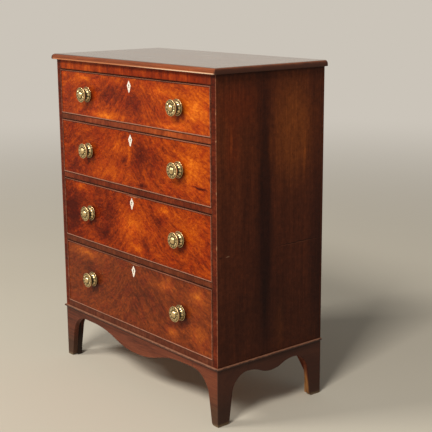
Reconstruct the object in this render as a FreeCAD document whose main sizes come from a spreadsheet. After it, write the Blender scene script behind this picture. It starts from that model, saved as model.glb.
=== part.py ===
import FreeCAD, Part
import math
import os
import re

import Sketcher
from FreeCAD import Vector

# A chest of four graduated long drawers on shaped bracket feet, in millimetres.
# X runs to the right, the front faces -Y and Z is up. The origin is on the floor,
# under the middle of the whole chest with its knobs.

doc = FreeCAD.newDocument("ChestOfDrawers")

SIZES = {
    # carcase
    "carcase_width": 840,
    "carcase_depth": 425,
    "side_thick": 22,
    "rail_thick": 20,
    "rail_depth": 70,
    "frieze_height": 32,
    "frieze_depth": 24,
    "base_rail_height": 28,
    "base_rail_depth": 48,
    "tenon_length": 8,
    "tenon_thick": 9,
    "tenon_setback": 6,
    "bottom_thick": 14,
    "bottom_rebate": 8,
    "back_thick": 10,
    "back_rebate": 11,
    "back_lap": 8,
    "back_board_count": 4,
    # top
    "top_thick": 18,
    "top_overhang": 13,
    "top_round": 12,
    "top_arris": 2.2,
    # drawer openings, from the top down
    "opening_1": 147,
    "opening_2": 181,
    "opening_3": 201,
    "opening_4": 219,
    # what the drawers run on
    "runner_width": 24,
    "runner_gap": 0.3,
    "stop_length": 40,
    "stop_width": 12,
    "stop_height": 5,
    "stop_spread": 182,
    "stop_gap": 0.3,
    # feet, aprons and the bead above them
    "plinth_height": 178,
    "bracket_thick": 18,
    "front_toe": 29,
    "front_wing": 120,
    "front_rim": 21,
    "front_bend": 78,
    "front_flat": 55,
    "front_fall": 62,
    "side_toe": 43,
    "side_wing": 118,
    "side_rim": 27,
    "side_bend": 62,
    "side_flat": 4,
    "side_fall": 48,
    "back_toe": 34,
    "back_wing": 110,
    "back_shoulder": 60,
    "toe_round": 10,
    "block_width": 17,
    "bead_height": 8,
    "bead_reach": 5.5,
    "bead_flat": 2,
    # drawers
    "drawer_side_gap": 0.8,
    "drawer_top_gap": 1.4,
    "drawer_foot_gap": 0.9,
    "drawer_rear_gap": 8,
    "front_thick": 21,
    "drawer_side_thick": 9,
    "drawer_side_drop": 6,
    "drawer_back_thick": 9,
    "drawer_back_drop": 8,
    "drawer_bottom_thick": 6,
    "drawer_bottom_rise": 10,
    "groove_depth": 4,
    "cockbead_thick": 3.2,
    "cockbead_depth": 9,
    "cockbead_proud": 2.6,
    # dovetails
    "tail_length": 11,
    "pin_tip": 4,
    "pin_root": 9,
    "tail_count_1": 4,
    "tail_count_2": 5,
    "tail_count_3": 5,
    "tail_count_4": 6,
    # locks and escutcheons
    "lock_width": 68,
    "lock_height": 50,
    "lock_depth": 9,
    "lock_plate": 2,
    "case_width": 52,
    "case_height": 42,
    "bolt_width": 22,
    "bolt_thick": 4,
    "bolt_height": 18,
    "bolt_gap": 0.3,
    "bolt_throw": 8,
    "mortise_gap": 1,
    "escutcheon_width": 20,
    "escutcheon_height": 37,
    "escutcheon_below": 11,
    "escutcheon_thick": 2.2,
    "escutcheon_proud": 0.4,
    "keyhole_radius": 2.6,
    "keyslot_width": 2.6,
    "keyslot_length": 9,
    # knobs
    "knob_spread": 242,
    "knob_radius": 25,
    "knob_reach": 31,
    "shank_radius": 4,
    "shank_gap": 0.2,
    "nut_width": 15,
    "nut_thick": 4,
    # cuts run past the face that they leave by this much
    "overrun": 5,
}

# shape of the knob from the drawer outwards: radius and reach as shares of the knob's
KNOB_SHARES = (
    (0.98, 0.00),
    (0.98, 0.08),
    (0.42, 0.38),
    (0.98, 0.66),
    (0.98, 0.83),
    (0.40, 0.83),
    (0.00, 1.00),
)
# the escutcheon's outline: half width and distance from the top, as shares of its width and height
KITE_SHARES = ((0.0, 0.0), (0.50, 0.42), (0.10, 1.0))
# how far down the escutcheon the round of the keyhole lies, and how much of the cockbead's nose is taken off
KEYHOLE_SHARE = 0.40
NOSE_SHARE = 0.33

sheet = doc.addObject("Spreadsheet::Sheet", "Sizes")
for row, (alias, value) in enumerate(SIZES.items(), start=1):
    sheet.set(f"A{row}", alias)
    sheet.set(f"B{row}", str(value))
    sheet.setAlias(f"B{row}", alias)
doc.recompute()

ALIAS = re.compile(r"\b(" + "|".join(SIZES) + r")\b")
PLANES = {"XY": ("XY_Plane", 1), "XZ": ("XZ_Plane", -1), "YZ": ("YZ_Plane", 1)}
LEFT, RIGHT = -1, 1
SIDES = {LEFT: "left", RIGHT: "right"}
DRAWERS = ("1", "2", "3", "4")

# places that many pieces share, as sums of the sizes
FRONT = "((knob_reach - carcase_depth)/2)"
BACK = "((knob_reach + carcase_depth)/2)"
HALF = "(carcase_width/2)"
INNER = "(carcase_width/2 - side_thick)"
BACK_INNER = f"({BACK} - back_thick)"
FRONT_ARCH, FRONT_DROP = "(plinth_height - front_rim)", "(plinth_height - front_fall)"
SIDE_ARCH, SIDE_DROP = "(plinth_height - side_rim)", "(plinth_height - side_fall)"
SILL, HEAD = {}, {}
level_up = "(plinth_height + base_rail_height)"
for drawer in reversed(DRAWERS):
    SILL[drawer] = level_up
    HEAD[drawer] = f"({level_up} + opening_{drawer})"
    level_up = f"({HEAD[drawer]} + rail_thick)"
TOP_UNDER = f"({HEAD['1']} + frieze_height)"
TOP = f"({TOP_UNDER} + top_thick)"
FRONT_INNER = f"({FRONT} + front_thick)"
HALF_DRAWER = f"({INNER} - drawer_side_gap)"
DRAWER_INNER = f"({HALF_DRAWER} - drawer_side_thick)"
DRAWER_REAR = f"({BACK_INNER} - drawer_rear_gap)"

nodes = []


def cells(total):
    """Turns a sum of size names into an expression on the sheet's cells."""
    return ALIAS.sub(r"Sizes.\1", str(total))


def number(total):
    """The present value of a sum of size names."""
    return float(sheet.evalExpression(cells(total)))


def bind(thing, size, total):
    """Ties one size of an object to a sum of size names."""
    thing.setExpression(size, cells(total))


def node(label, thing):
    """Gives a finished sub-part its name and puts it on the list of what is written."""
    thing.Label = label
    nodes.append(thing)
    return thing


def across(side, low, high):
    """The span from low to high outwards from the middle, on the left or on the right."""
    return (low, high) if side == RIGHT else (f"-({high})", f"-({low})")


def rectangle(wide, tall):
    """Four corners between two sums each way."""
    (left, right), (low, high) = wide, tall
    return [(left, low), (right, low), (right, high), (left, high)]


def box(name, wide, deep, tall):
    """A block between two sums on each axis."""
    block = doc.addObject("Part::Box", name)
    for size, axis, (low, high) in zip(("Length", "Width", "Height"), "xyz", (wide, deep, tall)):
        bind(block, size, f"({high}) - ({low})")
        bind(block, f"Placement.Base.{axis}", low)
    return block


def rod(name, radius, centre, deep):
    """A round bar along Y about the centre, between two sums."""
    bar = doc.addObject("Part::Cylinder", name)
    bar.Placement.Rotation = FreeCAD.Rotation(Vector(0, 0, 1), Vector(0, 1, 0))
    bind(bar, "Radius", radius)
    bind(bar, "Height", f"({deep[1]}) - ({deep[0]})")
    for axis, place in zip("xyz", (centre[0], deep[0], centre[1])):
        bind(bar, f"Placement.Base.{axis}", place)
    return bar


def fuse(name, *pieces):
    """One solid of several that touch."""
    whole = doc.addObject("Part::MultiFuse", name)
    whole.Shapes = list(pieces)
    whole.Refine = True
    return whole


def cut(name, base, *tools):
    """The base with the tools' shapes taken out of it."""
    rest = doc.addObject("Part::Cut", name)
    rest.Base = base
    rest.Tool = tools[0] if len(tools) == 1 else fuse(f"{name}_cuts", *tools)
    rest.Refine = True
    return rest


def group(name, pieces):
    """Separate solids that share one name."""
    together = doc.addObject("Part::Compound", name)
    together.Links = list(pieces)
    return together


def origin_of(body, role):
    """One of the body's own planes or axes."""
    return next(feature for feature in body.Origin.OriginFeatures if feature.Role == role)


def bow_radius(chord_squared, rise):
    """The radius of an arc from its chord, squared, and its rise."""
    return f"({chord_squared}/(8*{rise}) + {rise}/2)"


def arc_between(start, end, radius, side):
    """The shorter arc from start to end: its centre left of the way for side 1, right of it for -1."""
    chord = end - start
    rise = math.sqrt(max(radius ** 2 - chord.Length ** 2 / 4, 0))
    centre = (start + end) / 2 + Vector(-chord.y, chord.x, 0).normalize() * rise * side
    first, last = (start - centre, end - centre) if side > 0 else (end - centre, start - centre)
    circle = Part.Circle(centre, Vector(0, 0, 1), radius)
    return Part.ArcOfCircle(circle, math.atan2(first.y, first.x), math.atan2(last.y, last.x))


def add_loop(drawing, corners):
    """Draws a closed outline whose corners are held by their distances from the origin.

    A corner is (x, y), or (x, y, radius, side) where an arc leaves it.
    """
    spots = [Vector(number(corner[0]), number(corner[1]), 0) for corner in corners]
    ahead = spots[1:] + spots[:1]
    first = drawing.GeometryCount
    ends = []
    for corner, start, end in zip(corners, spots, ahead):
        curved = len(corner) > 2
        if curved:
            edge = arc_between(start, end, number(corner[2]), corner[3])
        else:
            edge = Part.LineSegment(start, end)
        drawing.addGeometry(edge, False)
        ends.append((2, 1) if curved and corner[3] < 0 else (1, 2))
    for index, corner in enumerate(corners):
        after = (index + 1) % len(corners)
        edge, point = first + index, ends[index][0]
        drawing.addConstraint(
            Sketcher.Constraint("Coincident", edge, ends[index][1], first + after, ends[after][0]))
        for axis, total in zip(("DistanceX", "DistanceY"), corner):
            held = drawing.addConstraint(Sketcher.Constraint(axis, -1, 1, edge, point, number(total)))
            bind(drawing, f"Constraints[{held}]", total)
        if len(corner) > 2:
            held = drawing.addConstraint(Sketcher.Constraint("Radius", edge, number(corner[2])))
            bind(drawing, f"Constraints[{held}]", corner[2])


def outline(body, plane, level, loops):
    """A drawing of closed loops on one of the body's planes, moved along its normal to the level."""
    role, sense = PLANES[plane]
    drawing = body.newObject("Sketcher::SketchObject", f"{body.Name}_outline")
    drawing.AttachmentSupport = (origin_of(body, role), [""])
    drawing.MapMode = "FlatFace"
    bind(drawing, "AttachmentOffset.Base.z", f"({level})*{sense}")
    for corners in loops:
        add_loop(drawing, corners)
    return drawing


def thicken(kind, body, plane, span, loops):
    """Pads or pockets a drawing of loops between the two sums of the span."""
    low, high = span
    feature = body.newObject(f"PartDesign::{kind}", f"{body.Name}_{kind}")
    feature.Profile = outline(body, plane, f"(({low}) + ({high}))/2", loops)
    feature.SideType = "Symmetric"
    bind(feature, "Length", f"({high}) - ({low})")
    body.Tip = feature
    return feature


def pad(body, plane, span, *loops):
    """Adds the loops, as thick as the span, to the body."""
    return thicken("Pad", body, plane, span, loops)


def pocket(body, plane, span, *loops):
    """Cuts the loops, as deep as the span, out of the body."""
    return thicken("Pocket", body, plane, span, loops)


def repeat_up(body, feature, length, count):
    """Repeats a feature upwards, evenly over the length."""
    row = body.newObject("PartDesign::LinearPattern", f"{body.Name}_row")
    row.Originals = [feature]
    row.Direction = (origin_of(body, "Z_Axis"), [""])
    bind(row, "Length", length)
    bind(row, "Occurrences", count)
    body.Tip = row
    return row


def lies_at(edge, axis, level):
    """Whether all of a straight edge lies at one level on an axis."""
    apart = [abs(getattr(corner, axis) - number(level)) for corner in edge.Vertexes]
    return max(apart) < FreeCAD.Base.Precision.approximation()


def dress_edges(kind, size_name, body, size, chosen):
    """Takes the sharpness off the body's edges that pass the test."""
    doc.recompute()
    base = body.Tip
    names = [f"Edge{index}" for index, edge in enumerate(base.Shape.Edges, start=1) if chosen(edge)]
    dressed = body.newObject(f"PartDesign::{kind}", f"{body.Name}_{kind}")
    dressed.Base = (base, names)
    bind(dressed, size_name, size)
    body.Tip = dressed


def round_edges(body, radius, chosen):
    """Rounds the body's edges that pass the test."""
    dress_edges("Fillet", "Radius", body, radius, chosen)


def bevel_edges(body, width, chosen):
    """Bevels the body's edges that pass the test."""
    dress_edges("Chamfer", "Size", body, width, chosen)


def new_body(name):
    """An empty body that sketches and cuts go into."""
    return doc.addObject("PartDesign::Body", name)


def top_board():
    """The top, flush at the back and moulded on the front and both ends."""
    body = new_body("top_board")
    pad(body, "XY", (TOP_UNDER, TOP),
        rectangle((f"-{HALF} - top_overhang", f"{HALF} + top_overhang"), (f"{FRONT} - top_overhang", BACK)))
    for size, level in (("top_round", TOP), ("top_arris", TOP_UNDER)):
        round_edges(body, size, lambda edge: lies_at(edge, "Z", level) and not lies_at(edge, "Y", BACK))
    node("top_board", body)


def tenon_span(low, high):
    """The height of the stub tenon in the middle of a rail's edge."""
    return f"(({low}) + ({high}) - tenon_thick)/2", f"(({low}) + ({high}) + tenon_thick)/2"


def tenon_reach(depth):
    """Where a rail's stub tenon lies from front to back."""
    return f"{FRONT} + tenon_setback", f"{FRONT} + {depth} - tenon_setback"


# each rail's depth, underside and upper side
RAILS = {
    "frieze_rail": ("frieze_depth", HEAD["1"], TOP_UNDER),
    "divider_rail_1": ("rail_depth", HEAD["2"], SILL["1"]),
    "divider_rail_2": ("rail_depth", HEAD["3"], SILL["2"]),
    "divider_rail_3": ("rail_depth", HEAD["4"], SILL["3"]),
    "base_rail": ("base_rail_depth", "plinth_height", SILL["4"]),
}


def carcase_side(side):
    """A side with mortises for the rails and rebates for the back and bottom boards."""
    name = f"{SIDES[side]}_side"
    body = new_body(name)
    pad(body, "YZ", across(side, INNER, HALF), rectangle((FRONT, BACK), ("plinth_height", TOP_UNDER)))
    pocket(body, "YZ", across(side, INNER, f"{INNER} + tenon_length"),
           *[rectangle(tenon_reach(depth), tenon_span(low, high)) for depth, low, high in RAILS.values()])
    pocket(body, "YZ", across(side, INNER, f"{INNER} + back_rebate"),
           rectangle((BACK_INNER, BACK), ("plinth_height", TOP_UNDER)))
    pocket(body, "YZ", across(side, INNER, f"{INNER} + bottom_rebate"),
           rectangle((f"{FRONT} + base_rail_depth", BACK_INNER),
                     ("plinth_height", "plinth_height + bottom_thick")))
    node(name, body)


def rail(name, depth, low, high, mortised):
    """A rail between the sides with a stub tenon at each end, and a mortise for the bolt below it."""
    bar = box(f"{name}_bar", (f"-{INNER}", INNER), (FRONT, f"{FRONT} + {depth}"), (low, high))
    reach = f"({INNER} + tenon_length)"
    tenons = box(f"{name}_tenons", (f"-{reach}", reach), tenon_reach(depth), tenon_span(low, high))
    whole = fuse(f"{name}_blank", bar, tenons)
    if mortised:
        half_mortise = "(bolt_width/2 + mortise_gap)"
        deep = (f"{BOLT_FRONT} - mortise_gap", f"{BOLT_FRONT} + bolt_thick + mortise_gap")
        whole = cut(name, whole, box(f"{name}_mortise", (f"-{half_mortise}", half_mortise), deep,
                                     (low, f"{low} + bolt_throw")))
    node(name, whole)


def bottom_board():
    """The floor of the carcase, behind the base rail and let into both sides."""
    reach = f"({INNER} + bottom_rebate)"
    node("bottom_board", box("bottom_board", (f"-{reach}", reach), (f"{FRONT} + base_rail_depth", BACK_INNER),
                             ("plinth_height", "plinth_height + bottom_thick")))


def back_boards():
    """Upright boards in the sides' rebates, lapped half over each other at their edges."""
    count = int(number("back_board_count"))
    reach = f"({INNER} + back_rebate)"
    middle = f"({BACK} - back_thick/2)"
    boards = []
    for index in range(count):
        left = f"(-{reach} + 2*{reach}*{index}/back_board_count)"
        right = f"(-{reach} + 2*{reach}*{index + 1}/back_board_count)"
        corners = [(left, BACK_INNER), (right, BACK_INNER), (right, BACK), (left, BACK)]
        if index + 1 < count:
            inner, outer = f"{right} - back_lap/2", f"{right} + back_lap/2"
            corners[1:3] = [(inner, BACK_INNER), (inner, middle), (outer, middle), (outer, BACK)]
        if index > 0:
            inner, outer = f"{left} - back_lap/2", f"{left} + back_lap/2"
            corners[0] = (inner, BACK_INNER)
            corners[-1:] = [(outer, BACK), (outer, middle), (inner, middle)]
        body = new_body(f"back_board_{index + 1}")
        pad(body, "XY", ("plinth_height", TOP_UNDER), corners)
        boards.append(body)
    node("back_boards", group("back_boards", boards))


def drawer_runners():
    """Strips on the sides that the drawers slide on, and two at the top that keep the first from tipping."""
    strips = []
    for side, word in SIDES.items():
        wide = across(side, f"{INNER} - runner_width", INNER)
        levels = {n: ("rail_depth", f"{SILL[n]} - rail_thick", SILL[n]) for n in DRAWERS}
        levels["4"] = ("base_rail_depth", "plinth_height + bottom_thick", SILL["4"])
        levels["kicker"] = ("frieze_depth", HEAD["1"], TOP_UNDER)
        strips += [box(f"{word}_runner_{level}", wide, (f"{FRONT} + {depth}", BACK_INNER), (low, high))
                   for level, (depth, low, high) in levels.items()]
    node("drawer_runners", group("drawer_runners", strips))


def drawer_stops():
    """Two blocks on each rail that a closing drawer's front comes up against."""
    near = f"({FRONT_INNER} + stop_gap)"
    blocks = [
        box(f"{word}_stop_{n}", across(side, "stop_spread - stop_length/2", "stop_spread + stop_length/2"),
            (near, f"{near} + stop_width"), (SILL[n], f"{SILL[n]} + stop_height"))
        for side, word in SIDES.items() for n in DRAWERS]
    node("drawer_stops", group("drawer_stops", blocks))


def base_bead():
    """A half-round strip round the front and both sides, mitred at the front corners."""
    low, high = "plinth_height", "(plinth_height + bead_height)"
    flat = "bead_flat"
    nose = bow_radius("bead_height^2", "(bead_reach - bead_flat)")
    end = f"({HALF} + bead_reach)"
    tip = f"({FRONT} - bead_reach)"
    room = (f"{low} - overrun", f"{high} + overrun")
    front = new_body("front_bead")
    pad(front, "YZ", (f"-{end}", end),
        [(FRONT, high), (f"{FRONT} - {flat}", high, nose, 1), (f"{FRONT} - {flat}", low), (FRONT, low)])
    pocket(front, "XY", room, [(f"-{end}", FRONT), (f"-{HALF}", FRONT), (f"-{end}", tip)],
           [(end, FRONT), (HALF, FRONT), (end, tip)])
    strips = [front]
    for side, word in SIDES.items():
        strip = new_body(f"{word}_bead")
        face, nose_start = f"{side}*{HALF}", f"{side}*({HALF} + {flat})"
        pad(strip, "XZ", (tip, BACK),
            [(face, low), (nose_start, low, nose, side), (nose_start, high), (face, high)])
        pocket(strip, "XY", room, [(face, FRONT), (face, tip), (f"{side}*{end}", tip)])
        strips.append(strip)
    node("base_bead", group("base_bead", strips))


def foot_outline(toe, wing, arch, bend, place, side):
    """A bracket from its corner inwards: a toe, a line that runs into a bend, and the arch it ends in.

    The line from the toe touches the bend's circle, so its upper end follows from the circle and the toe.
    Place turns a distance from the corner into a coordinate, and side tells which way that runs.
    """
    run, rise = f"({wing} - {toe})", f"({arch} - {bend})"
    square = f"({run}^2 + {rise}^2)"
    touch = f"sqrt({square} - {bend}^2)"
    along = f"({toe} + ({touch}^2*{run} - {touch}*{bend}*{rise})/{square})"
    up = f"(({touch}^2*{rise} + {touch}*{bend}*{run})/{square})"
    return [(place("0"), "0"), (place(toe), "0"), (place(along), up, bend, -side), (place(wing), arch),
            (place(wing), "plinth_height"), (place("0"), "plinth_height")]


def round_toe(body, axis, place):
    """Rounds the inner corner of a toe, where it stands on the floor."""
    round_edges(body, "toe_round", lambda edge: lies_at(edge, "Z", "0") and lies_at(edge, axis, place))


def front_foot(side):
    """Two brackets, mitred together at the corner."""
    name = f"front_{SIDES[side]}_foot"
    corner, inner = f"{side}*{HALF}", f"{side}*({HALF} - bracket_thick)"
    behind = f"({FRONT} + bracket_thick)"
    room = ("-overrun", "plinth_height + overrun")
    face = new_body(f"{name}_face")
    pad(face, "XZ", (FRONT, behind), foot_outline("front_toe", "front_wing", FRONT_ARCH, "front_bend",
                                                  lambda inward: f"{side}*({HALF} - {inward})", -side))
    round_toe(face, "X", f"{side}*({HALF} - front_toe)")
    pocket(face, "XY", room, [(corner, FRONT), (corner, behind), (inner, behind)])
    flank = new_body(f"{name}_flank")
    pad(flank, "YZ", across(side, f"{HALF} - bracket_thick", HALF),
        foot_outline("side_toe", "side_wing", SIDE_ARCH, "side_bend",
                     lambda inward: f"{FRONT} + {inward}", 1))
    round_toe(flank, "Y", f"{FRONT} + side_toe")
    pocket(flank, "XY", room, [(corner, FRONT), (inner, FRONT), (inner, behind)])
    node(name, group(name, (face, flank)))


def back_foot(side):
    """A shaped bracket on the side, with a plain one behind it."""
    name = f"back_{SIDES[side]}_foot"
    flank = new_body(f"{name}_flank")
    pad(flank, "YZ", across(side, f"{HALF} - bracket_thick", HALF),
        foot_outline("side_toe", "side_wing", SIDE_ARCH, "side_bend",
                     lambda inward: f"{BACK} - {inward}", -1))
    round_toe(flank, "Y", f"{BACK} - side_toe")
    rear = new_body(f"{name}_rear")
    edge = f"({HALF} - bracket_thick)"
    pad(rear, "XZ", (f"{BACK} - bracket_thick", BACK),
        [(f"{side}*{edge}", "0"), (f"{side}*({edge} - back_toe)", "0"),
         (f"{side}*({edge} - back_toe)", "back_shoulder"), (f"{side}*({edge} - back_wing)", SIDE_ARCH),
         (f"{side}*({edge} - back_wing)", "plinth_height"), (f"{side}*{edge}", "plinth_height")])
    node(name, group(name, (flank, rear)))


def foot_blocks():
    """Square posts glued into the corners of the feet."""
    posts = []
    for side, word in SIDES.items():
        wide = across(side, f"{HALF} - bracket_thick - block_width", f"{HALF} - bracket_thick")
        near, far = f"({FRONT} + bracket_thick)", f"({BACK} - bracket_thick)"
        ends = {"front": (near, f"{near} + block_width"), "back": (f"{far} - block_width", far)}
        for end, deep in ends.items():
            posts.append(box(f"{end}_{word}_block", wide, deep, ("0", "plinth_height")))
    node("foot_blocks", group("foot_blocks", posts))


def apron_outline(half_run, flat, arch, drop, middle):
    """A board whose lower edge falls from an arch at each end to a drop in the middle, in two ogees.

    Each ogee is two arcs of one radius that meet half way, level at their outer ends.
    """
    ogee = f"({half_run} - {flat})"
    fall = f"({arch} - {drop})"
    radius = f"(({ogee}^2 + {fall}^2)/(4*{fall}))"
    turn = f"({arch} - {fall}/2)"
    return [(f"{middle} - {half_run}", "plinth_height"), (f"{middle} - {half_run}", arch),
            (f"{middle} - {ogee}", arch, radius, -1), (f"{middle} - {ogee}/2", turn, radius, 1),
            (f"{middle} + {ogee}/2", turn, radius, -1), (f"{middle} + {ogee}", arch),
            (f"{middle} + {half_run}", arch), (f"{middle} + {half_run}", "plinth_height")]


def aprons():
    """The shaped boards between the feet, one in front and one on each side."""
    front = new_body("front_apron")
    pad(front, "XZ", (FRONT, f"{FRONT} + bracket_thick"),
        apron_outline(f"({HALF} - front_wing)", "front_flat", FRONT_ARCH, FRONT_DROP, "0"))
    node("front_apron", front)
    boards = []
    for side, word in SIDES.items():
        board = new_body(f"{word}_apron")
        pad(board, "YZ", across(side, f"{HALF} - bracket_thick", HALF),
            apron_outline("(carcase_depth/2 - side_wing)", "side_flat", SIDE_ARCH, SIDE_DROP, "knob_reach/2"))
        boards.append(board)
    node("side_aprons", group("side_aprons", boards))


BOLT_FRONT = f"({FRONT_INNER} - (lock_depth + lock_plate + bolt_thick)/2)"


class Drawer:
    """A drawer: cockbeaded front, dovetailed sides and back, grooved-in bottom, lock and two knobs."""

    def __init__(self, n):
        self.name = f"drawer_{n}"
        self.tails = f"tail_count_{n}"
        self.foot = f"({SILL[n]} + drawer_foot_gap)"
        self.top = f"({HEAD[n]} - drawer_top_gap)"
        self.side_foot = f"({SILL[n]} + runner_gap)"
        self.side_top = f"({self.top} - drawer_side_drop)"
        self.bottom_under = f"({self.side_foot} + drawer_bottom_rise)"
        self.bottom_upper = f"({self.bottom_under} + drawer_bottom_thick)"
        self.back_top = f"({self.side_top} - drawer_back_drop)"
        self.pitch = f"(({self.side_top} - {self.side_foot})/{self.tails})"
        self.back_pitch = f"(({self.back_top} - {self.bottom_upper})/{self.tails})"
        self.middle = f"(({self.foot} + {self.top})/2)"
        self.kite_top = f"({self.top} - escutcheon_below)"
        self.key = f"({self.kite_top} - escutcheon_height*{KEYHOLE_SHARE})"

    def pin(self, level, tip, root):
        """The section of a dovetail pin: narrow at its tip, wide at its root."""
        return [(tip, f"{level} - pin_tip/2"), (root, f"{level} - pin_root/2"),
                (root, f"{level} + pin_root/2"), (tip, f"{level} + pin_tip/2")]

    def build(self):
        """Makes every piece of the drawer."""
        lock_blank = self.lock_blank()
        kite = self.kite()
        keyhole = self.keyhole()
        self.front(lock_blank, kite, keyhole)
        self.cockbead()
        for side in SIDES:
            self.side(side)
        self.back()
        self.bottom()
        node(f"{self.name}_escutcheon", cut(f"{self.name}_escutcheon", kite, keyhole))
        self.lock(lock_blank)
        self.bolt()
        self.knobs()

    def front(self, lock_blank, kite, keyhole):
        """The front: rebated for the cockbead, socketed for the sides' tails, grooved for the bottom."""
        body = new_body(f"{self.name}_front_board")
        wide = (f"-{HALF_DRAWER}", HALF_DRAWER)
        pad(body, "XZ", (FRONT, FRONT_INNER), rectangle(wide, (self.foot, self.top)))
        past, within = f"({HALF_DRAWER} + overrun)", f"({HALF_DRAWER} - cockbead_thick)"
        pocket(body, "XZ", (FRONT, f"{FRONT} + cockbead_depth"),
               rectangle((f"-{past}", past), (f"{self.foot} - overrun", f"{self.top} + overrun")),
               rectangle((f"-{within}", within),
                         (f"{self.foot} + cockbead_thick", f"{self.top} - cockbead_thick")))
        tip = f"({FRONT_INNER} - tail_length)"
        low, high = self.side_foot, f"({self.side_foot} + {self.pitch})"
        for side in SIDES:
            socket = pocket(body, "YZ", across(side, DRAWER_INNER, HALF_DRAWER),
                            [(tip, f"{low} + pin_tip/2"), (FRONT_INNER, f"{low} + pin_root/2"),
                             (FRONT_INNER, f"{high} - pin_root/2"), (tip, f"{high} - pin_tip/2")])
            repeat_up(body, socket, f"{self.pitch}*({self.tails} - 1)", self.tails)
        reach = f"({DRAWER_INNER} + groove_depth)"
        pocket(body, "XY", (self.bottom_under, self.bottom_upper),
               rectangle((f"-{reach}", reach), (f"{FRONT_INNER} - groove_depth", FRONT_INNER)))
        holes = [rod(f"{self.name}_{word}_knob_hole", "shank_radius + shank_gap",
                     (f"{side}*knob_spread", self.middle), (f"{FRONT} - overrun", f"{FRONT_INNER} + overrun"))
                 for side, word in SIDES.items()]
        node(f"{self.name}_front", cut(f"{self.name}_front", body, lock_blank, kite, keyhole, *holes))

    def cockbead(self):
        """Four strips round the front, mitred at the corners, with the sharpness taken off the nose."""
        low, high, end = self.foot, self.top, HALF_DRAWER
        low_in, high_in = f"({low} + cockbead_thick)", f"({high} - cockbead_thick)"
        end_in = f"({end} - cockbead_thick)"
        nose = f"({FRONT} - cockbead_proud)"
        strips = []
        for word, corners in {
            "foot": [(f"-{end}", low), (end, low), (end_in, low_in), (f"-{end_in}", low_in)],
            "top": [(f"-{end_in}", high_in), (end_in, high_in), (end, high), (f"-{end}", high)],
            "left": [(f"-{end}", low), (f"-{end_in}", low_in), (f"-{end_in}", high_in), (f"-{end}", high)],
            "right": [(end_in, low_in), (end, low), (end, high), (end_in, high_in)],
        }.items():
            strip = new_body(f"{self.name}_bead_{word}")
            pad(strip, "XZ", (nose, f"{FRONT} + cockbead_depth"), corners)
            bevel_edges(strip, f"cockbead_thick*{NOSE_SHARE}",
                        lambda edge: lies_at(edge, "Y", nose) and edge.Length > number("2*cockbead_thick"))
            strips.append(strip)
        node(f"{self.name}_cockbead", group(f"{self.name}_cockbead", strips))

    def side(self, side):
        """A side with tails cut on both ends and a groove for the bottom."""
        name = f"{self.name}_{SIDES[side]}_side"
        body = new_body(name)
        tip = f"({FRONT_INNER} - tail_length)"
        wide = across(side, DRAWER_INNER, HALF_DRAWER)
        pad(body, "YZ", wide, rectangle((tip, DRAWER_REAR), (self.side_foot, self.side_top)))
        notch = pocket(body, "YZ", wide, self.pin(self.side_foot, tip, FRONT_INNER))
        repeat_up(body, notch, f"{self.side_top} - {self.side_foot}", f"{self.tails} + 1")
        notch = pocket(body, "YZ", wide, self.pin(f"({self.bottom_upper} + {self.back_pitch})", DRAWER_REAR,
                                                  f"{DRAWER_REAR} - drawer_back_thick"))
        repeat_up(body, notch, f"{self.back_pitch}*({self.tails} - 2)", f"{self.tails} - 1")
        pocket(body, "XY", (self.bottom_under, self.bottom_upper),
               rectangle(across(side, DRAWER_INNER, f"{DRAWER_INNER} + groove_depth"), (tip, DRAWER_REAR)))
        node(name, body)

    def back(self):
        """The back board, whose pins go right through the sides."""
        name = f"{self.name}_back"
        body = new_body(name)
        near = f"({DRAWER_REAR} - drawer_back_thick)"
        pad(body, "XZ", (near, DRAWER_REAR),
            rectangle((f"-{DRAWER_INNER}", DRAWER_INNER), (self.bottom_upper, self.back_top)))
        pin = pad(body, "YZ", (f"-{HALF_DRAWER}", HALF_DRAWER),
                  self.pin(f"({self.bottom_upper} + {self.back_pitch})", DRAWER_REAR, near))
        repeat_up(body, pin, f"{self.back_pitch}*({self.tails} - 2)", f"{self.tails} - 1")
        node(name, body)

    def bottom(self):
        """The bottom board, held in the grooves of the front and sides and run under the back."""
        name = f"{self.name}_bottom"
        reach = f"({DRAWER_INNER} + groove_depth)"
        node(name, box(name, (f"-{reach}", reach), (f"{FRONT_INNER} - groove_depth", DRAWER_REAR),
                       (self.bottom_under, self.bottom_upper)))

    def kite(self):
        """The escutcheon's plate before its keyhole is cut."""
        body = new_body(f"{self.name}_kite")
        face = f"({FRONT} - escutcheon_proud)"
        right = [(f"escutcheon_width*{half}", f"{self.kite_top} - escutcheon_height*{down}")
                 for half, down in KITE_SHARES]
        left = [(f"-{across_share}", level) for across_share, level in reversed(right[1:])]
        pad(body, "XZ", (face, f"{face} + escutcheon_thick"), right + left)
        return body

    def keyhole(self):
        """The round and the slot that the key goes through, as far as the lock's case."""
        deep = (f"{FRONT} - escutcheon_proud - overrun", f"{FRONT_INNER} - lock_depth")
        eye = rod(f"{self.name}_key_round", "keyhole_radius", ("0", self.key), deep)
        slot = box(f"{self.name}_key_slot", ("-keyslot_width/2", "keyslot_width/2"), deep,
                   (f"{self.key} - keyslot_length", self.key))
        return fuse(f"{self.name}_keyhole", eye, slot)

    def lock_blank(self):
        """The lock's back plate, top plate and case, let into the front board."""
        plate_wide = ("-lock_width/2", "lock_width/2")
        deep = (f"{FRONT_INNER} - lock_depth", FRONT_INNER)
        plate = box(f"{self.name}_lock_plate", plate_wide, (f"{FRONT_INNER} - lock_plate", FRONT_INNER),
                    (f"{self.top} - lock_height", self.top))
        selvedge = box(f"{self.name}_lock_top", plate_wide, deep, (f"{self.top} - lock_plate", self.top))
        case = box(f"{self.name}_lock_case", ("-case_width/2", "case_width/2"), deep,
                   (f"{self.top} - case_height", self.top))
        return fuse(f"{self.name}_lock_blank", plate, selvedge, case)

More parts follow.
